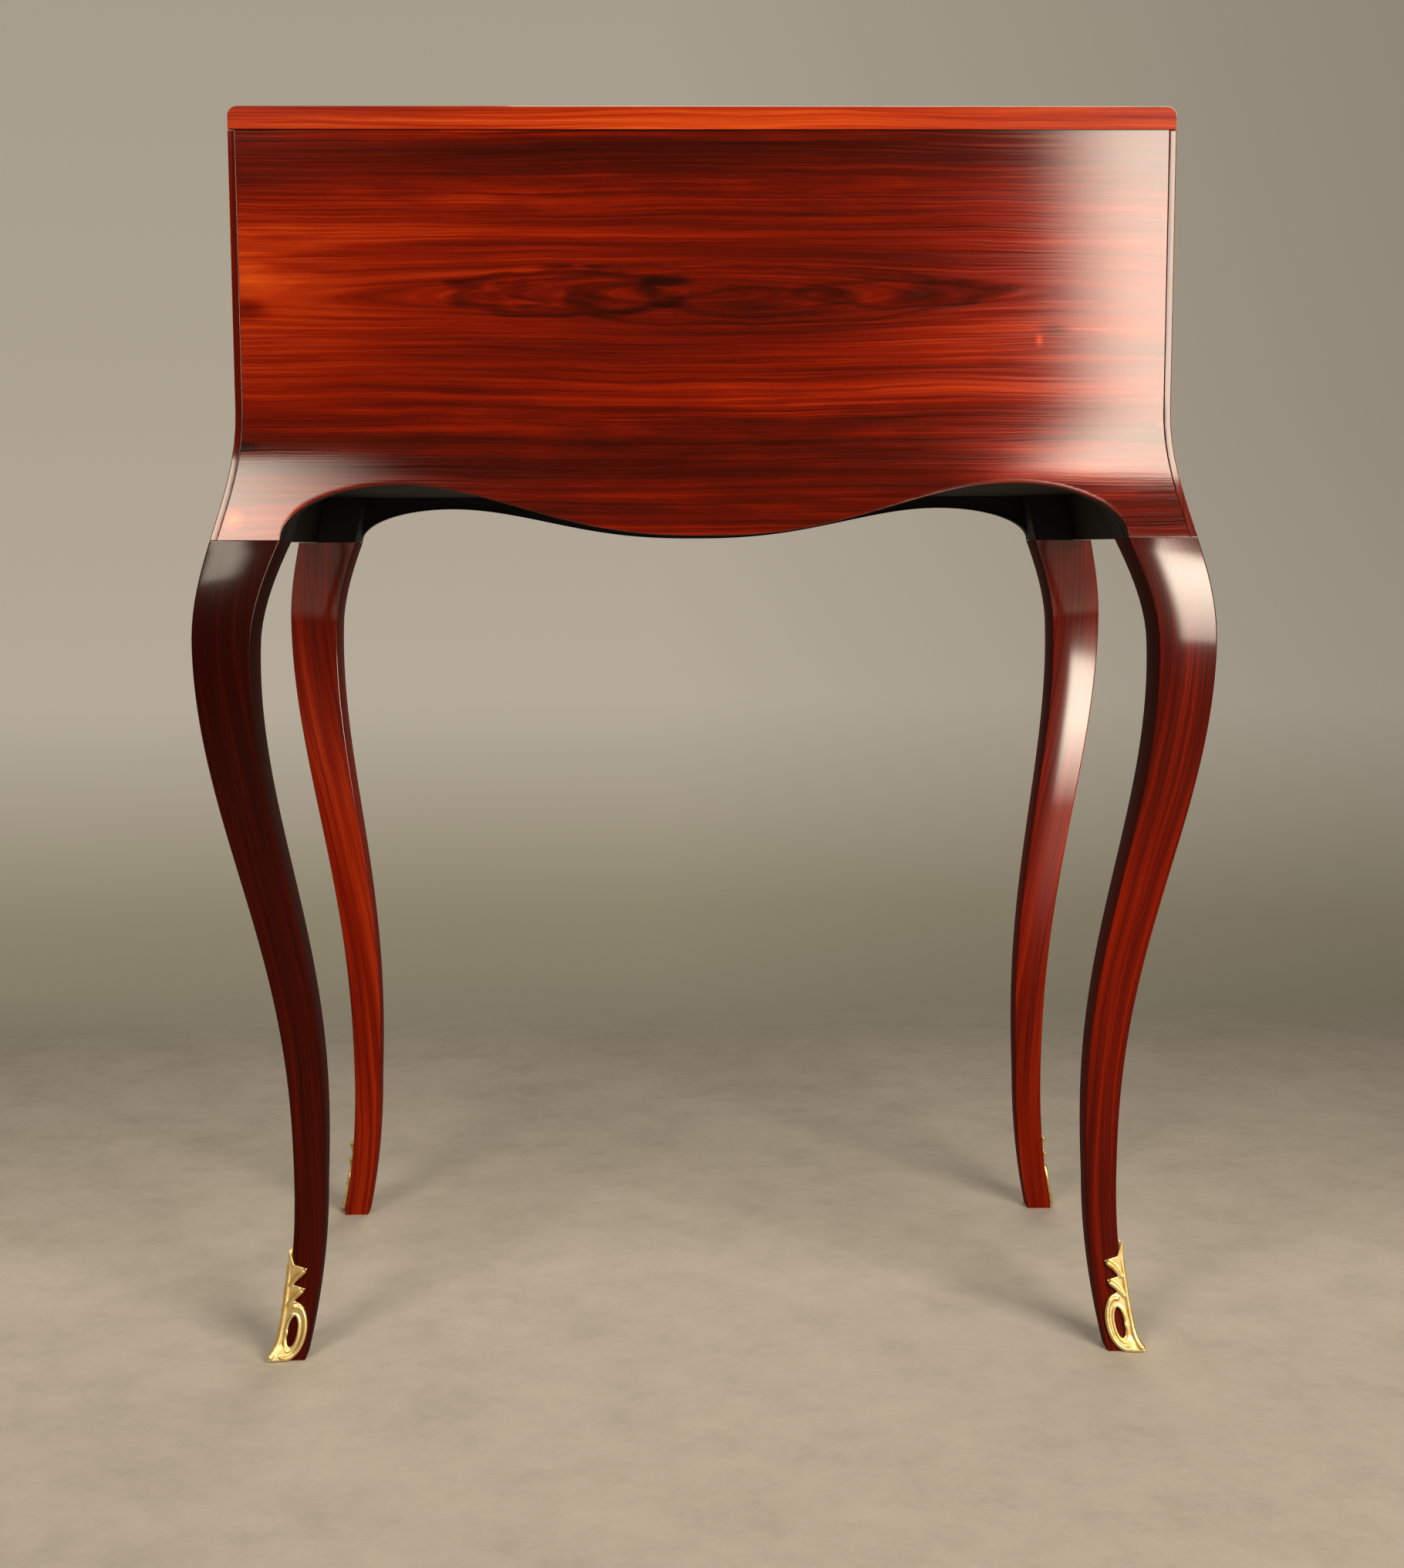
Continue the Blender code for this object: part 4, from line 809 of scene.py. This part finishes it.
def on_foot(wing, u, z, rise):
    """A point on the foot: u along a wing from the corner, z up, and its rise above the wood."""
    toe = SABOT_TOE * max(0.0, 1 - z / SABOT_TOE_HEIGHT) ** 2 * max(0.0, 1 - u / SCROLL_REACH)
    out = flare(max(z, 0.0)) + GAP + toe
    x, y = {"back": (-u, rise), "side": (rise, -u), "corner": (rise, rise)}[wing]
    return HALF_WIDTH + out + x, HALF_DEPTH + out + y, z


def strand(wing, points):
    """A string of wax through points in millimetres: u, z, rise and its own radius there."""
    spots = []
    for measures in points:
        u, z, rise, radius = [MILLIMETRE * measure for measure in measures]
        spots.append((*on_foot(wing, u, z, rise), radius))
    return curve_mesh(spots, round_section=True)


def lobe(tip):
    """A curled leaf that grows from the stem and ends in a rounded tip at height tip."""
    return [
        (1.0, tip - 13.0, 1.4, 1.7),
        (3.5, tip - 9.0, 1.8, 2.0),
        (7.0, tip - 4.5, 2.2, 2.3),
        (10.5, tip - 1.8, 2.6, 2.3),
        (12.0, tip - 0.6, 3.2, 1.5),
    ]


STEM = [(0, 87.5, 0.2, 0.6), (0, 80, 0.6, 1.3), (0, 66, 0.8, 1.9), (0, 50, 0.8, 2.3), (0, 38, 0.8, 2.4)]
STEM += [(0, 24, 0.8, 2.2), (0, 13, 0.9, 2.6), (0, 6, 1.2, 3.0), (0, 3.2, 2.6, 2.6)]
BUD = [(4.0, 25.0, 1.6, 0.5), (4.6, 21.5, 2.0, 1.7), (4.0, 17.5, 1.6, 0.6)]


def model_sabot():
    """One sabot, on the foot at +X and +Y, with nothing of it inside the wood."""
    sabot = solid_copy("sabot_back_right")
    mend(sabot)
    strands = [strand("corner", STEM)]
    scroll = [(*spot, 1.5, 2.0) for spot in oval((8.6, 22.0), (9.4, 19.6), (105, -115), 18)]
    groove_rim = [(*spot, 1.6, 1.3) for spot in oval((8.2, 21.6), (5.3, 14.4), (180, -180), 18)]
    for wing in ("back", "side"):
        for points in (scroll, groove_rim, lobe(71.0), lobe(55.5), BUD):
            strands.append(strand(wing, points))
    join(sabot, *strands)
    apply_modifier(sabot, "REMESH", mode="VOXEL", voxel_size=SKIN_GRAIN)
    apply_modifier(sabot, "SMOOTH", factor=0.5, iterations=4)
    for vert in sabot.data.vertices:
        x, y, z = vert.co
        wood = flare(max(z, 0.0)) + GAP / 2
        inside_x = HALF_WIDTH + wood - x
        inside_y = HALF_DEPTH + wood - y
        if 0 < inside_x <= inside_y:
            vert.co.x += inside_x
        elif 0 < inside_y < inside_x:
            vert.co.y += inside_y
        vert.co.z = max(z, GAP)
    return sabot


for name, sabot in mirrored_copies(model_sabot(), "sabot").items():
    smooth(sabot, 60)
    place_piece(sabot, f"{name}_cast", name, gilt_bronze)
print("sabots:", len(sabot.data.polygons), "faces each")

# %% [markdown]
# The back and the front rail have a lower edge with two arches and a drop between them. Each starts as
# a grid whose columns follow the edge and whose rows follow the flare. The first rows bend inwards to
# round the edge over, and less so towards the legs. The whole is then extruded to the thickness of
# the panel. What doesn't look outwards gets a near-black stain that is partly painted shade, the
# underside of the edge too, which paints a dark shadow line under the arches.

# %% Back panel and front frieze
ARCH_RUN = 0.086
DROP_RISE = 0.0025
DROP_SKEW = 1.25
EDGE_ROUND = 0.0016
SEAM_EASE, EASE_RUN = 0.25, 0.02
# Faces of the rounded lower edge that turn further down than this get the near-black stain, a painted shadow
# line under the arches.
OUTWARD_ENOUGH = 0.75
LEG_INNER_X = HALF_WIDTH + flare(SEAM_HEIGHT) - SEAM_WIDTH
ARCH_PLACE = LEG_INNER_X - ARCH_RUN
LOW_EDGE = SEAM_HEIGHT + GAP
DROP_COLUMNS = 36
ARCH_COLUMNS = 20
FLARE_ROWS = 26
ROUND_ROWS = 3


def lower_edge(rise, edge_x):
    """Half of a shaped lower edge from the middle out: points with the direction into the panel."""
    points = []
    for x in span(0.0, ARCH_PLACE, DROP_COLUMNS):
        climb = (rise - DROP_RISE) * swell(x / ARCH_PLACE, DROP_SKEW)
        points.append(Vector((x, LOW_EDGE + DROP_RISE + climb)))
    for turn in span(0.0, math.pi / 2, ARCH_COLUMNS)[1:]:
        x = ARCH_PLACE + ARCH_RUN * math.sin(turn)
        points.append(Vector((x, LOW_EDGE + rise * math.cos(turn))))
    points.append(Vector((edge_x, LOW_EDGE)))
    inward = []
    for i, point in enumerate(points):
        step = points[min(i + 1, len(points) - 2)] - points[max(i - 1, 0)]
        inward.append(Vector((-step.y, step.x)).normalized())
    inward[-2] = Vector((1, 1)).normalized()
    inward[-1] = Vector((0, 1))
    return list(zip(points, inward))


def shaped_panel(end, rise, edge_inset, top):
    """A wall with an arched lower edge, flared to meet the legs; end is 1 for the back."""
    edge_x = HALF_WIDTH + flare(LOW_EDGE) - edge_inset
    half = lower_edge(rise, edge_x)
    columns = [(-1, *pair) for pair in half[:0:-1]] + [(1, *pair) for pair in half]
    rows = ROUND_ROWS + FLARE_ROWS + 1
    bpy.ops.mesh.primitive_grid_add(x_subdivisions=len(columns) - 1, y_subdivisions=rows, size=1)
    panel = bpy.context.object
    for vert in panel.data.vertices:
        column = round((vert.co.x + 0.5) * (len(columns) - 1))
        row = round((vert.co.y + 0.5) * rows)
        side, foot, inward = columns[column]
        off_seam = max(0.0, LEG_INNER_X - foot.x)
        ease = EDGE_ROUND * min(1.0, SEAM_EASE + off_seam / EASE_RUN)
        if row <= ROUND_ROWS:
            turn = math.pi / 2 * row / ROUND_ROWS
            spot = foot + inward * ease * (1 - math.cos(turn))
            depth = ease * (1 - math.sin(turn))
        else:
            spot = foot + inward * ease
            share = (row - ROUND_ROWS) / FLARE_ROWS
            level = spot.y + (FLARE_TOP - spot.y) * min(share, 1.0)
            spot = Vector((spot.x, top if row == rows else level))
            depth = 0.0
        x = HALF_WIDTH + flare(spot.y) - edge_inset if foot.x > edge_x - GAP else spot.x
        vert.co = (side * x, end * (HALF_DEPTH + flare(spot.y) - depth), spot.y)
    edit(panel)
    bpy.ops.mesh.extrude_region_move(TRANSFORM_OT_translate={"value": (0, -end * PANEL, 0)})
    leave_edit()
    mend(panel)
    return panel


def stain_and_shade_hidden_faces(obj, out):
    """Gives the second finish, the near-black stain and painted shade, to every face that doesn't look
    outwards.
    """
    for face in obj.data.polygons:
        face.material_index = 0 if face.normal.dot(out) > OUTWARD_ENOUGH else 1


LIP = HALF_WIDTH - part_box("back_panel")[1].x + flare(LOW_EDGE)
BACK_RISE = 0.041
FRONT_RISE = 0.0305
LOPER_PLAY, LOPER_CUT = 0.001, 0.12
back = shaped_panel(1, BACK_RISE, LIP, TOP_UNDERSIDE - GAP)
smooth(back)
keep_flat(back)
place_piece(back, "back_panel_veneered", "back_panel", back_veneer, stain_and_shade_wood, inside_wood)
stain_and_shade_hidden_faces(back, BACKWARDS)
for face in back.data.polygons:
    if face.normal.y < -0.9 and face.center.z > BED_TOP:
        face.material_index = 2
print("back panel:", len(back.data.polygons), "faces")

frieze = shaped_panel(-1, FRONT_RISE, PANEL + GAP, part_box("front_frieze")[1].z)
for side in ("left", "right"):
    low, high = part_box(f"loper_{side}")
    middle = ((low.x + high.x) / 2, -HALF_DEPTH, (low.z + high.z) / 2)
    carve(frieze, block(middle, (high.x - low.x + LOPER_PLAY, LOPER_CUT, high.z - low.z + LOPER_PLAY)))
smooth(frieze)
keep_flat(frieze)
place_piece(frieze, "front_frieze_veneered", "front_frieze", level_veneer, stain_and_shade_wood)
stain_and_shade_hidden_faces(frieze, FRONTWARDS)
print("front frieze:", len(frieze.data.polygons), "faces")

# %% [markdown]
# The plainer pieces keep the shape of their solids. Each is copied, its triangles are merged back into
# whole faces, and its sharp edges are eased, because no edge of a real desk is perfectly sharp.

# %% Helpers for plain pieces
def whole_copy(name):
    """A copy of a solid's mesh with its triangles merged into whole faces."""
    piece = solid_copy(name)
    activate(piece)
    bpy.ops.mesh.customdata_custom_splitnormals_clear()
    edit(piece)
    bpy.ops.mesh.remove_doubles(threshold=0.00001)
    bpy.ops.mesh.dissolve_limited(angle_limit=math.radians(0.4))
    leave_edit()
    return piece


def ease_edges(piece, width, angle=30):
    """Rounds every edge that is sharper than the angle."""
    limit = math.radians(angle)
    apply_modifier(piece, "BEVEL", width=width, segments=2, limit_method="ANGLE", angle_limit=limit)
    smooth(piece)


def eased_copy(name, width):
    """A copy of a solid with its edges eased and its faces kept flat."""
    piece = whole_copy(name)
    ease_edges(piece, width)
    keep_flat(piece)
    return piece


def face_with(piece, finish, out):
    """Gives one more finish to the faces that look the given way."""
    piece.data.materials.append(finish)
    for face in piece.data.polygons:
        if face.normal.dot(out) > 0.5:
            face.material_index = len(piece.data.materials) - 1


WOOD_EASE, METAL_EASE, STEEL_EASE = 0.0006, 0.0003, 0.0002

# %% [markdown]
# The ends of the case are veneered outside, and their edges have an upright strip. Their inner faces
# belong to two rooms: mahogany above the writing bed, and below it the near-black stain, which is partly
# painted shade. A cut at the height of the bed parts the two. The top board is veneered all over, and its
# back edge is worn.

# %% Ends and top
PANEL_EASE, TOP_EASE = 0.0007, 0.0009


def dress_side_panel(panel, side):
    """Veneer outside, an upright strip on the edges, and the finish of the rooms on its inner face."""
    edit(panel)
    bpy.ops.mesh.bisect(plane_co=(0, 0, BED_TOP), plane_no=(0, 0, 1))
    leave_edit()
    for face in panel.data.polygons:
        if face.normal.x * side > 0.35:
            face.material_index = 0
        elif abs(face.normal.y) > 0.5:
            face.material_index = 1
        else:
            face.material_index = 2 if face.center.z > BED_TOP else 3


for side_name, side in (("left", -1), ("right", 1)):
    name = f"side_panel_{side_name}"
    panel = eased_copy(name, PANEL_EASE)
    place_piece(panel, f"{name}_veneered", name, side_veneer, upright_veneer, inside_wood, stain_and_shade_wood)
    dress_side_panel(panel, side)

top = eased_copy("top_board", TOP_EASE)
place_piece(top, "top_board_veneered", "top_board", level_veneer)
face_with(top, edge_veneer, BACKWARDS)
print("ends and top:", len(panel.data.polygons), "and", len(top.data.polygons), "faces")

# %% [markdown]
# A small drawer front of this kind has a line scratched round its field with a shaped iron. Three insets
# make it: the first leaves the border, the second goes down into the groove, the third comes up again.

# %% Drawer fronts
SCRATCH_BORDER = 0.0045
SCRATCH_WIDTH = 0.0008
SCRATCH_DEPTH = 0.0006
DRAWER_EASE = 0.0005
DRAWERS = ("lower_left", "lower_right", "upper_left", "upper_right")
for label in DRAWERS:
    name = f"drawer_front_{label}"
    front = whole_copy(name)
    pick_faces(front, FRONTWARDS)
    bpy.ops.mesh.inset(thickness=SCRATCH_BORDER)
    bpy.ops.mesh.inset(thickness=SCRATCH_WIDTH, depth=-SCRATCH_DEPTH)
    bpy.ops.mesh.inset(thickness=SCRATCH_WIDTH, depth=SCRATCH_DEPTH)
    leave_edit()
    ease_edges(front, DRAWER_EASE, 60)
    keep_flat(front)
    place_piece(front, f"{name}_scratched", name, level_veneer)
print("drawer fronts:", len(front.data.polygons), "faces each")

# %% [markdown]
# The fall lies on a slope, so its fittings are made in a frame of its own: X runs across, Y up the
# slope from the hinge line, and Z outwards. The leather on its inside is framed with two gilt lines,
# which the binder rolls on with a hot wheel. An inset per line marks them out on the face.

# %% Leather of the fall
FALL_RUN = 0.185
FALL_SLOPE = math.atan2(TOP_UNDERSIDE - BED_TOP, FALL_RUN)
FALL_FRAME = Matrix.Translation((0, -HALF_DEPTH, BED_TOP)) @ Matrix.Rotation(FALL_SLOPE, 4, "X")
FALL_OUT = FALL_FRAME.to_3x3() @ UPWARDS
GILT_LINES = [(0.0060, 0.0016), (0.0020, 0.0006)]
LEATHER_EASE = 0.0003

skin = whole_copy("fall_leather")
place_piece(skin, "fall_leather_tooled", "fall_leather", leather, gold_leaf)
pick_faces(skin, -FALL_OUT)
for border, line in GILT_LINES:
    for width, finish in ((border, 1), (line, 0)):
        bpy.ops.mesh.inset(thickness=width)
        skin.active_material_index = finish
        bpy.ops.object.material_slot_assign()
leave_edit()
ease_edges(skin, LEATHER_EASE, 60)
print("leather:", len(skin.data.polygons), "faces")

# %% [markdown]
# The keyhole plate is cast and chased: a lobed outline, and a field that lies a little below a raised
# rim. The outline is drawn as a smooth closed curve, filled and raised to its thickness. Two insets leave
# the rim, and the keyhole is bored and sawn at last, as on the real plate.

# %% Keyhole plate
KEY_PLACE = 0.2252
PLATE_HALF = (0.0130, 0.0220)
PLATE_MIDDLE = 0.2222
PLATE_FOOT = 0.0183
PLATE_THICK = 0.0014
RIM_WIDTH = 0.0012
RIM_SLOPE = 0.0005
PLATE_EASE = 0.0002
HOLE_RADIUS = 0.0025
HOLE_SLOT = (0.0026, 0.0064)
CUT_DEPTH = 0.02
outline = []
for turn in span(0.0, math.tau, 32)[:-1]:
    lobes = 1 + 0.10 * math.cos(4 * turn) - 0.05 * math.cos(8 * turn)
    y = PLATE_MIDDLE + PLATE_HALF[1] * math.cos(turn) * lobes
    outline.append((PLATE_HALF[0] * math.sin(turn) * lobes, y, PLATE_FOOT, 1.0))
plate = curve_mesh(outline, closed=True)
edit(plate)
bpy.ops.mesh.edge_face_add()
bpy.ops.mesh.extrude_region_move(TRANSFORM_OT_translate={"value": (0, 0, PLATE_THICK)})
leave_edit()
mend(plate)
pick_faces(plate, UPWARDS)
bpy.ops.mesh.inset(thickness=RIM_WIDTH)
bpy.ops.mesh.inset(thickness=RIM_SLOPE, depth=-RIM_SLOPE)
leave_edit()
ease_edges(plate, PLATE_EASE, 50)
bpy.ops.mesh.primitive_cylinder_add(vertices=32, radius=HOLE_RADIUS, depth=CUT_DEPTH)
bore = bpy.context.object
settle(bore, Matrix.Translation((0, KEY_PLACE, PLATE_FOOT)))
carve(plate, bore)
carve(plate, block((0, KEY_PLACE - HOLE_SLOT[1] / 2, PLATE_FOOT), (*HOLE_SLOT, CUT_DEPTH)))
settle(plate, FALL_FRAME)
smooth(plate)
place_piece(plate, "keyhole_plate_chased", "keyhole_plate", gilt_bronze)
print("keyhole plate:", len(plate.data.polygons), "faces")

# %% [markdown]
# Knobs and the shank of the key are turned on a lathe: the tool follows one outline while the rod
# spins. The outline is drawn as a smooth curve and spun in the same way. A spot given twice makes a
# corner. The six knobs are copies of one.

# %% Turned knobs
def lathe(outline, steps=32):
    """Spins an outline of radius and height pairs in millimetres about the Z axis."""
    spots = [(MILLIMETRE * radius, 0.0, MILLIMETRE * height, 1.0) for radius, height in outline]
    piece = curve_mesh(spots)
    edit(piece)
    bpy.ops.mesh.spin(steps=steps, angle=math.tau, center=(0, 0, 0), axis=(0, 0, 1))
    leave_edit()
    mend(piece)
    smooth(piece, 50)
    return piece


KNOB_OUTLINE = [(0, 0), (4.6, 0), (4.6, 0), (4.6, 1.2), (4.3, 1.6), (2.6, 2.6), (2.4, 4.6), (3.0, 5.6)]
KNOB_OUTLINE += [(5.6, 6.4), (6.1, 8.6), (5.2, 10.9), (2.8, 11.4), (2.4, 11.4), (2.2, 12.4), (0, 12.5)]
knob = lathe(KNOB_OUTLINE)
TOWARDS_FRONT = Matrix.Rotation(math.pi / 2, 4, "X")
for name in [f"drawer_knob_{label}" for label in DRAWERS] + ["loper_knob_left", "loper_knob_right"]:
    low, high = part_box(name)
    seat = Matrix.Translation(((low.x + high.x) / 2, high.y, (low.z + high.z) / 2))
    place_piece(moved_copy(knob, seat @ TOWARDS_FRONT), f"{name}_turned", name, brass)
print("knobs:", len(knob.data.polygons), "faces each")
bpy.data.objects.remove(knob)

# %% [markdown]
# The key is forged: a bar bent to an oval bow, a turned shank with two collars, and a flat bit that
# works the bolt. The three are joined and turned into the slope of the fall.

# %% Key
SHANK = [(0, 3.5), (2.1, 3.5), (2.1, 3.5), (2.1, 20.7), (2.1, 20.7), (3.5, 20.9), (3.5, 22.4), (2.2, 22.8)]
SHANK += [(2.0, 25.0), (2.0, 28.0), (2.9, 28.6), (2.9, 30.2), (2.3, 30.8), (1.8, 31.6), (0, 31.7)]
BOW_MIDDLE = 0.0395
BOW_RADII = (0.0112, 0.0087)
BOW_BAR = 0.0016
BIT_SIZE = (0.0018, 0.006, 0.0045)
BIT_MIDDLE = (0, -BIT_SIZE[1] / 2, 0.00625)
BIT_EASE = 0.0002
bow = [(x, 0.0, z, BOW_BAR) for x, z in oval((0.0, BOW_MIDDLE), BOW_RADII, (0, 360), 16)[:-1]]
bow = curve_mesh(bow, round_section=True, closed=True)
bit = block(BIT_MIDDLE, BIT_SIZE)
ease_edges(bit, BIT_EASE)
key = lathe(SHANK)
join(key, bow, bit)
settle(key, FALL_FRAME @ Matrix.Translation((0, KEY_PLACE, 0)))
smooth(key, 50)
place_piece(key, "key_forged", "key", steel)
print("key:", len(key.data.polygons), "faces")

# %% [markdown]
# The hinges are held by countersunk screws, three in each leaf. One head is modelled as a thin disc with
# a sawn slot. Its copies are turned a little differently, as a hand leaves them, and are joined into
# one group on the bed and one on the fall.

# %% Hinge screws
HEAD_RADIUS = 0.0022
HEAD_DEPTH = 0.0008
HEAD_PROUD = 0.0002
HEAD_EASE = 0.00008
SLOT_WIDTH = 0.0005
LEAF_DEEP = 0.0003
HINGE_MIDDLE = 0.220
SCREW_PLACES = [(-0.0155, 0.0115), (0.0, 0.0160), (0.0155, 0.0115)]
bpy.ops.mesh.primitive_cylinder_add(vertices=24, radius=HEAD_RADIUS, depth=HEAD_DEPTH)
screw = bpy.context.object
carve(screw, block((0, 0, HEAD_DEPTH / 2), (4 * HEAD_RADIUS, SLOT_WIDTH, HEAD_DEPTH)))
ease_edges(screw, HEAD_EASE)

SINK = HEAD_PROUD - LEAF_DEEP - HEAD_DEPTH / 2
BED_FRAME = Matrix.Translation((0, -HALF_DEPTH, BED_TOP))
OVER = Matrix.Rotation(math.pi, 4, "Y")
for group, leaf_frame, body in (("bed", BED_FRAME, "case"), ("fall", FALL_FRAME @ OVER, "fall")):
    heads = []
    for side in (-1, 1):
        for count, (x, y) in enumerate(SCREW_PLACES):
            turned = Matrix.Rotation(0.7 * count + side, 4, "Z")
            spot = Matrix.Translation((side * HINGE_MIDDLE + x, y, SINK))
            heads.append(moved_copy(screw, leaf_frame @ spot @ turned))
    join(*heads)
    heads[0].name = heads[0].data.name = f"hinge_screws_{group}"
    heads[0].data.materials.append(steel)
    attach(heads[0], body)
bpy.data.objects.remove(screw)
print("screw heads:", 2 * 2 * len(SCREW_PLACES))

# %% [markdown]
# What is left is plain joinery and plain metalwork. Each piece gets the finish of its slot, and a few
# faces get another one: the front ends of the slides and of the bed are veneered like the frieze beside
# them, and the bottom of the well is as clean as the rooms above.

# %% All other pieces
PLAIN = {
    "loper_left": (WOOD_EASE, loper_wood),
    "loper_right": (WOOD_EASE, loper_wood),
    "lock_bolt": (METAL_EASE, steel),
}
BY_SLOT = {
    "rosewood": (WOOD_EASE, level_veneer),
    "carcass": (WOOD_EASE, stain_and_shade_wood),
    "interior": (WOOD_EASE, inside_wood),
    "brass": (METAL_EASE, brass),
    "steel": (STEEL_EASE, steel),
}
FACED = {
    "loper_left": (level_veneer, FRONTWARDS),
    "loper_right": (level_veneer, FRONTWARDS),
    "writing_bed": (level_veneer, FRONTWARDS),
    "case_floor": (inside_wood, UPWARDS),
}
count = 0
for name in sorted(nodes):
    if nodes[name].hide_render:
        continue
    ease, finish = PLAIN.get(name) or BY_SLOT[slot_of[name]]
    piece = eased_copy(name, ease)
    place_piece(piece, f"{name}_finished", name, finish)
    if name in FACED:
        face_with(piece, *FACED[name])
    count += 1
print(count, "plain pieces dressed")
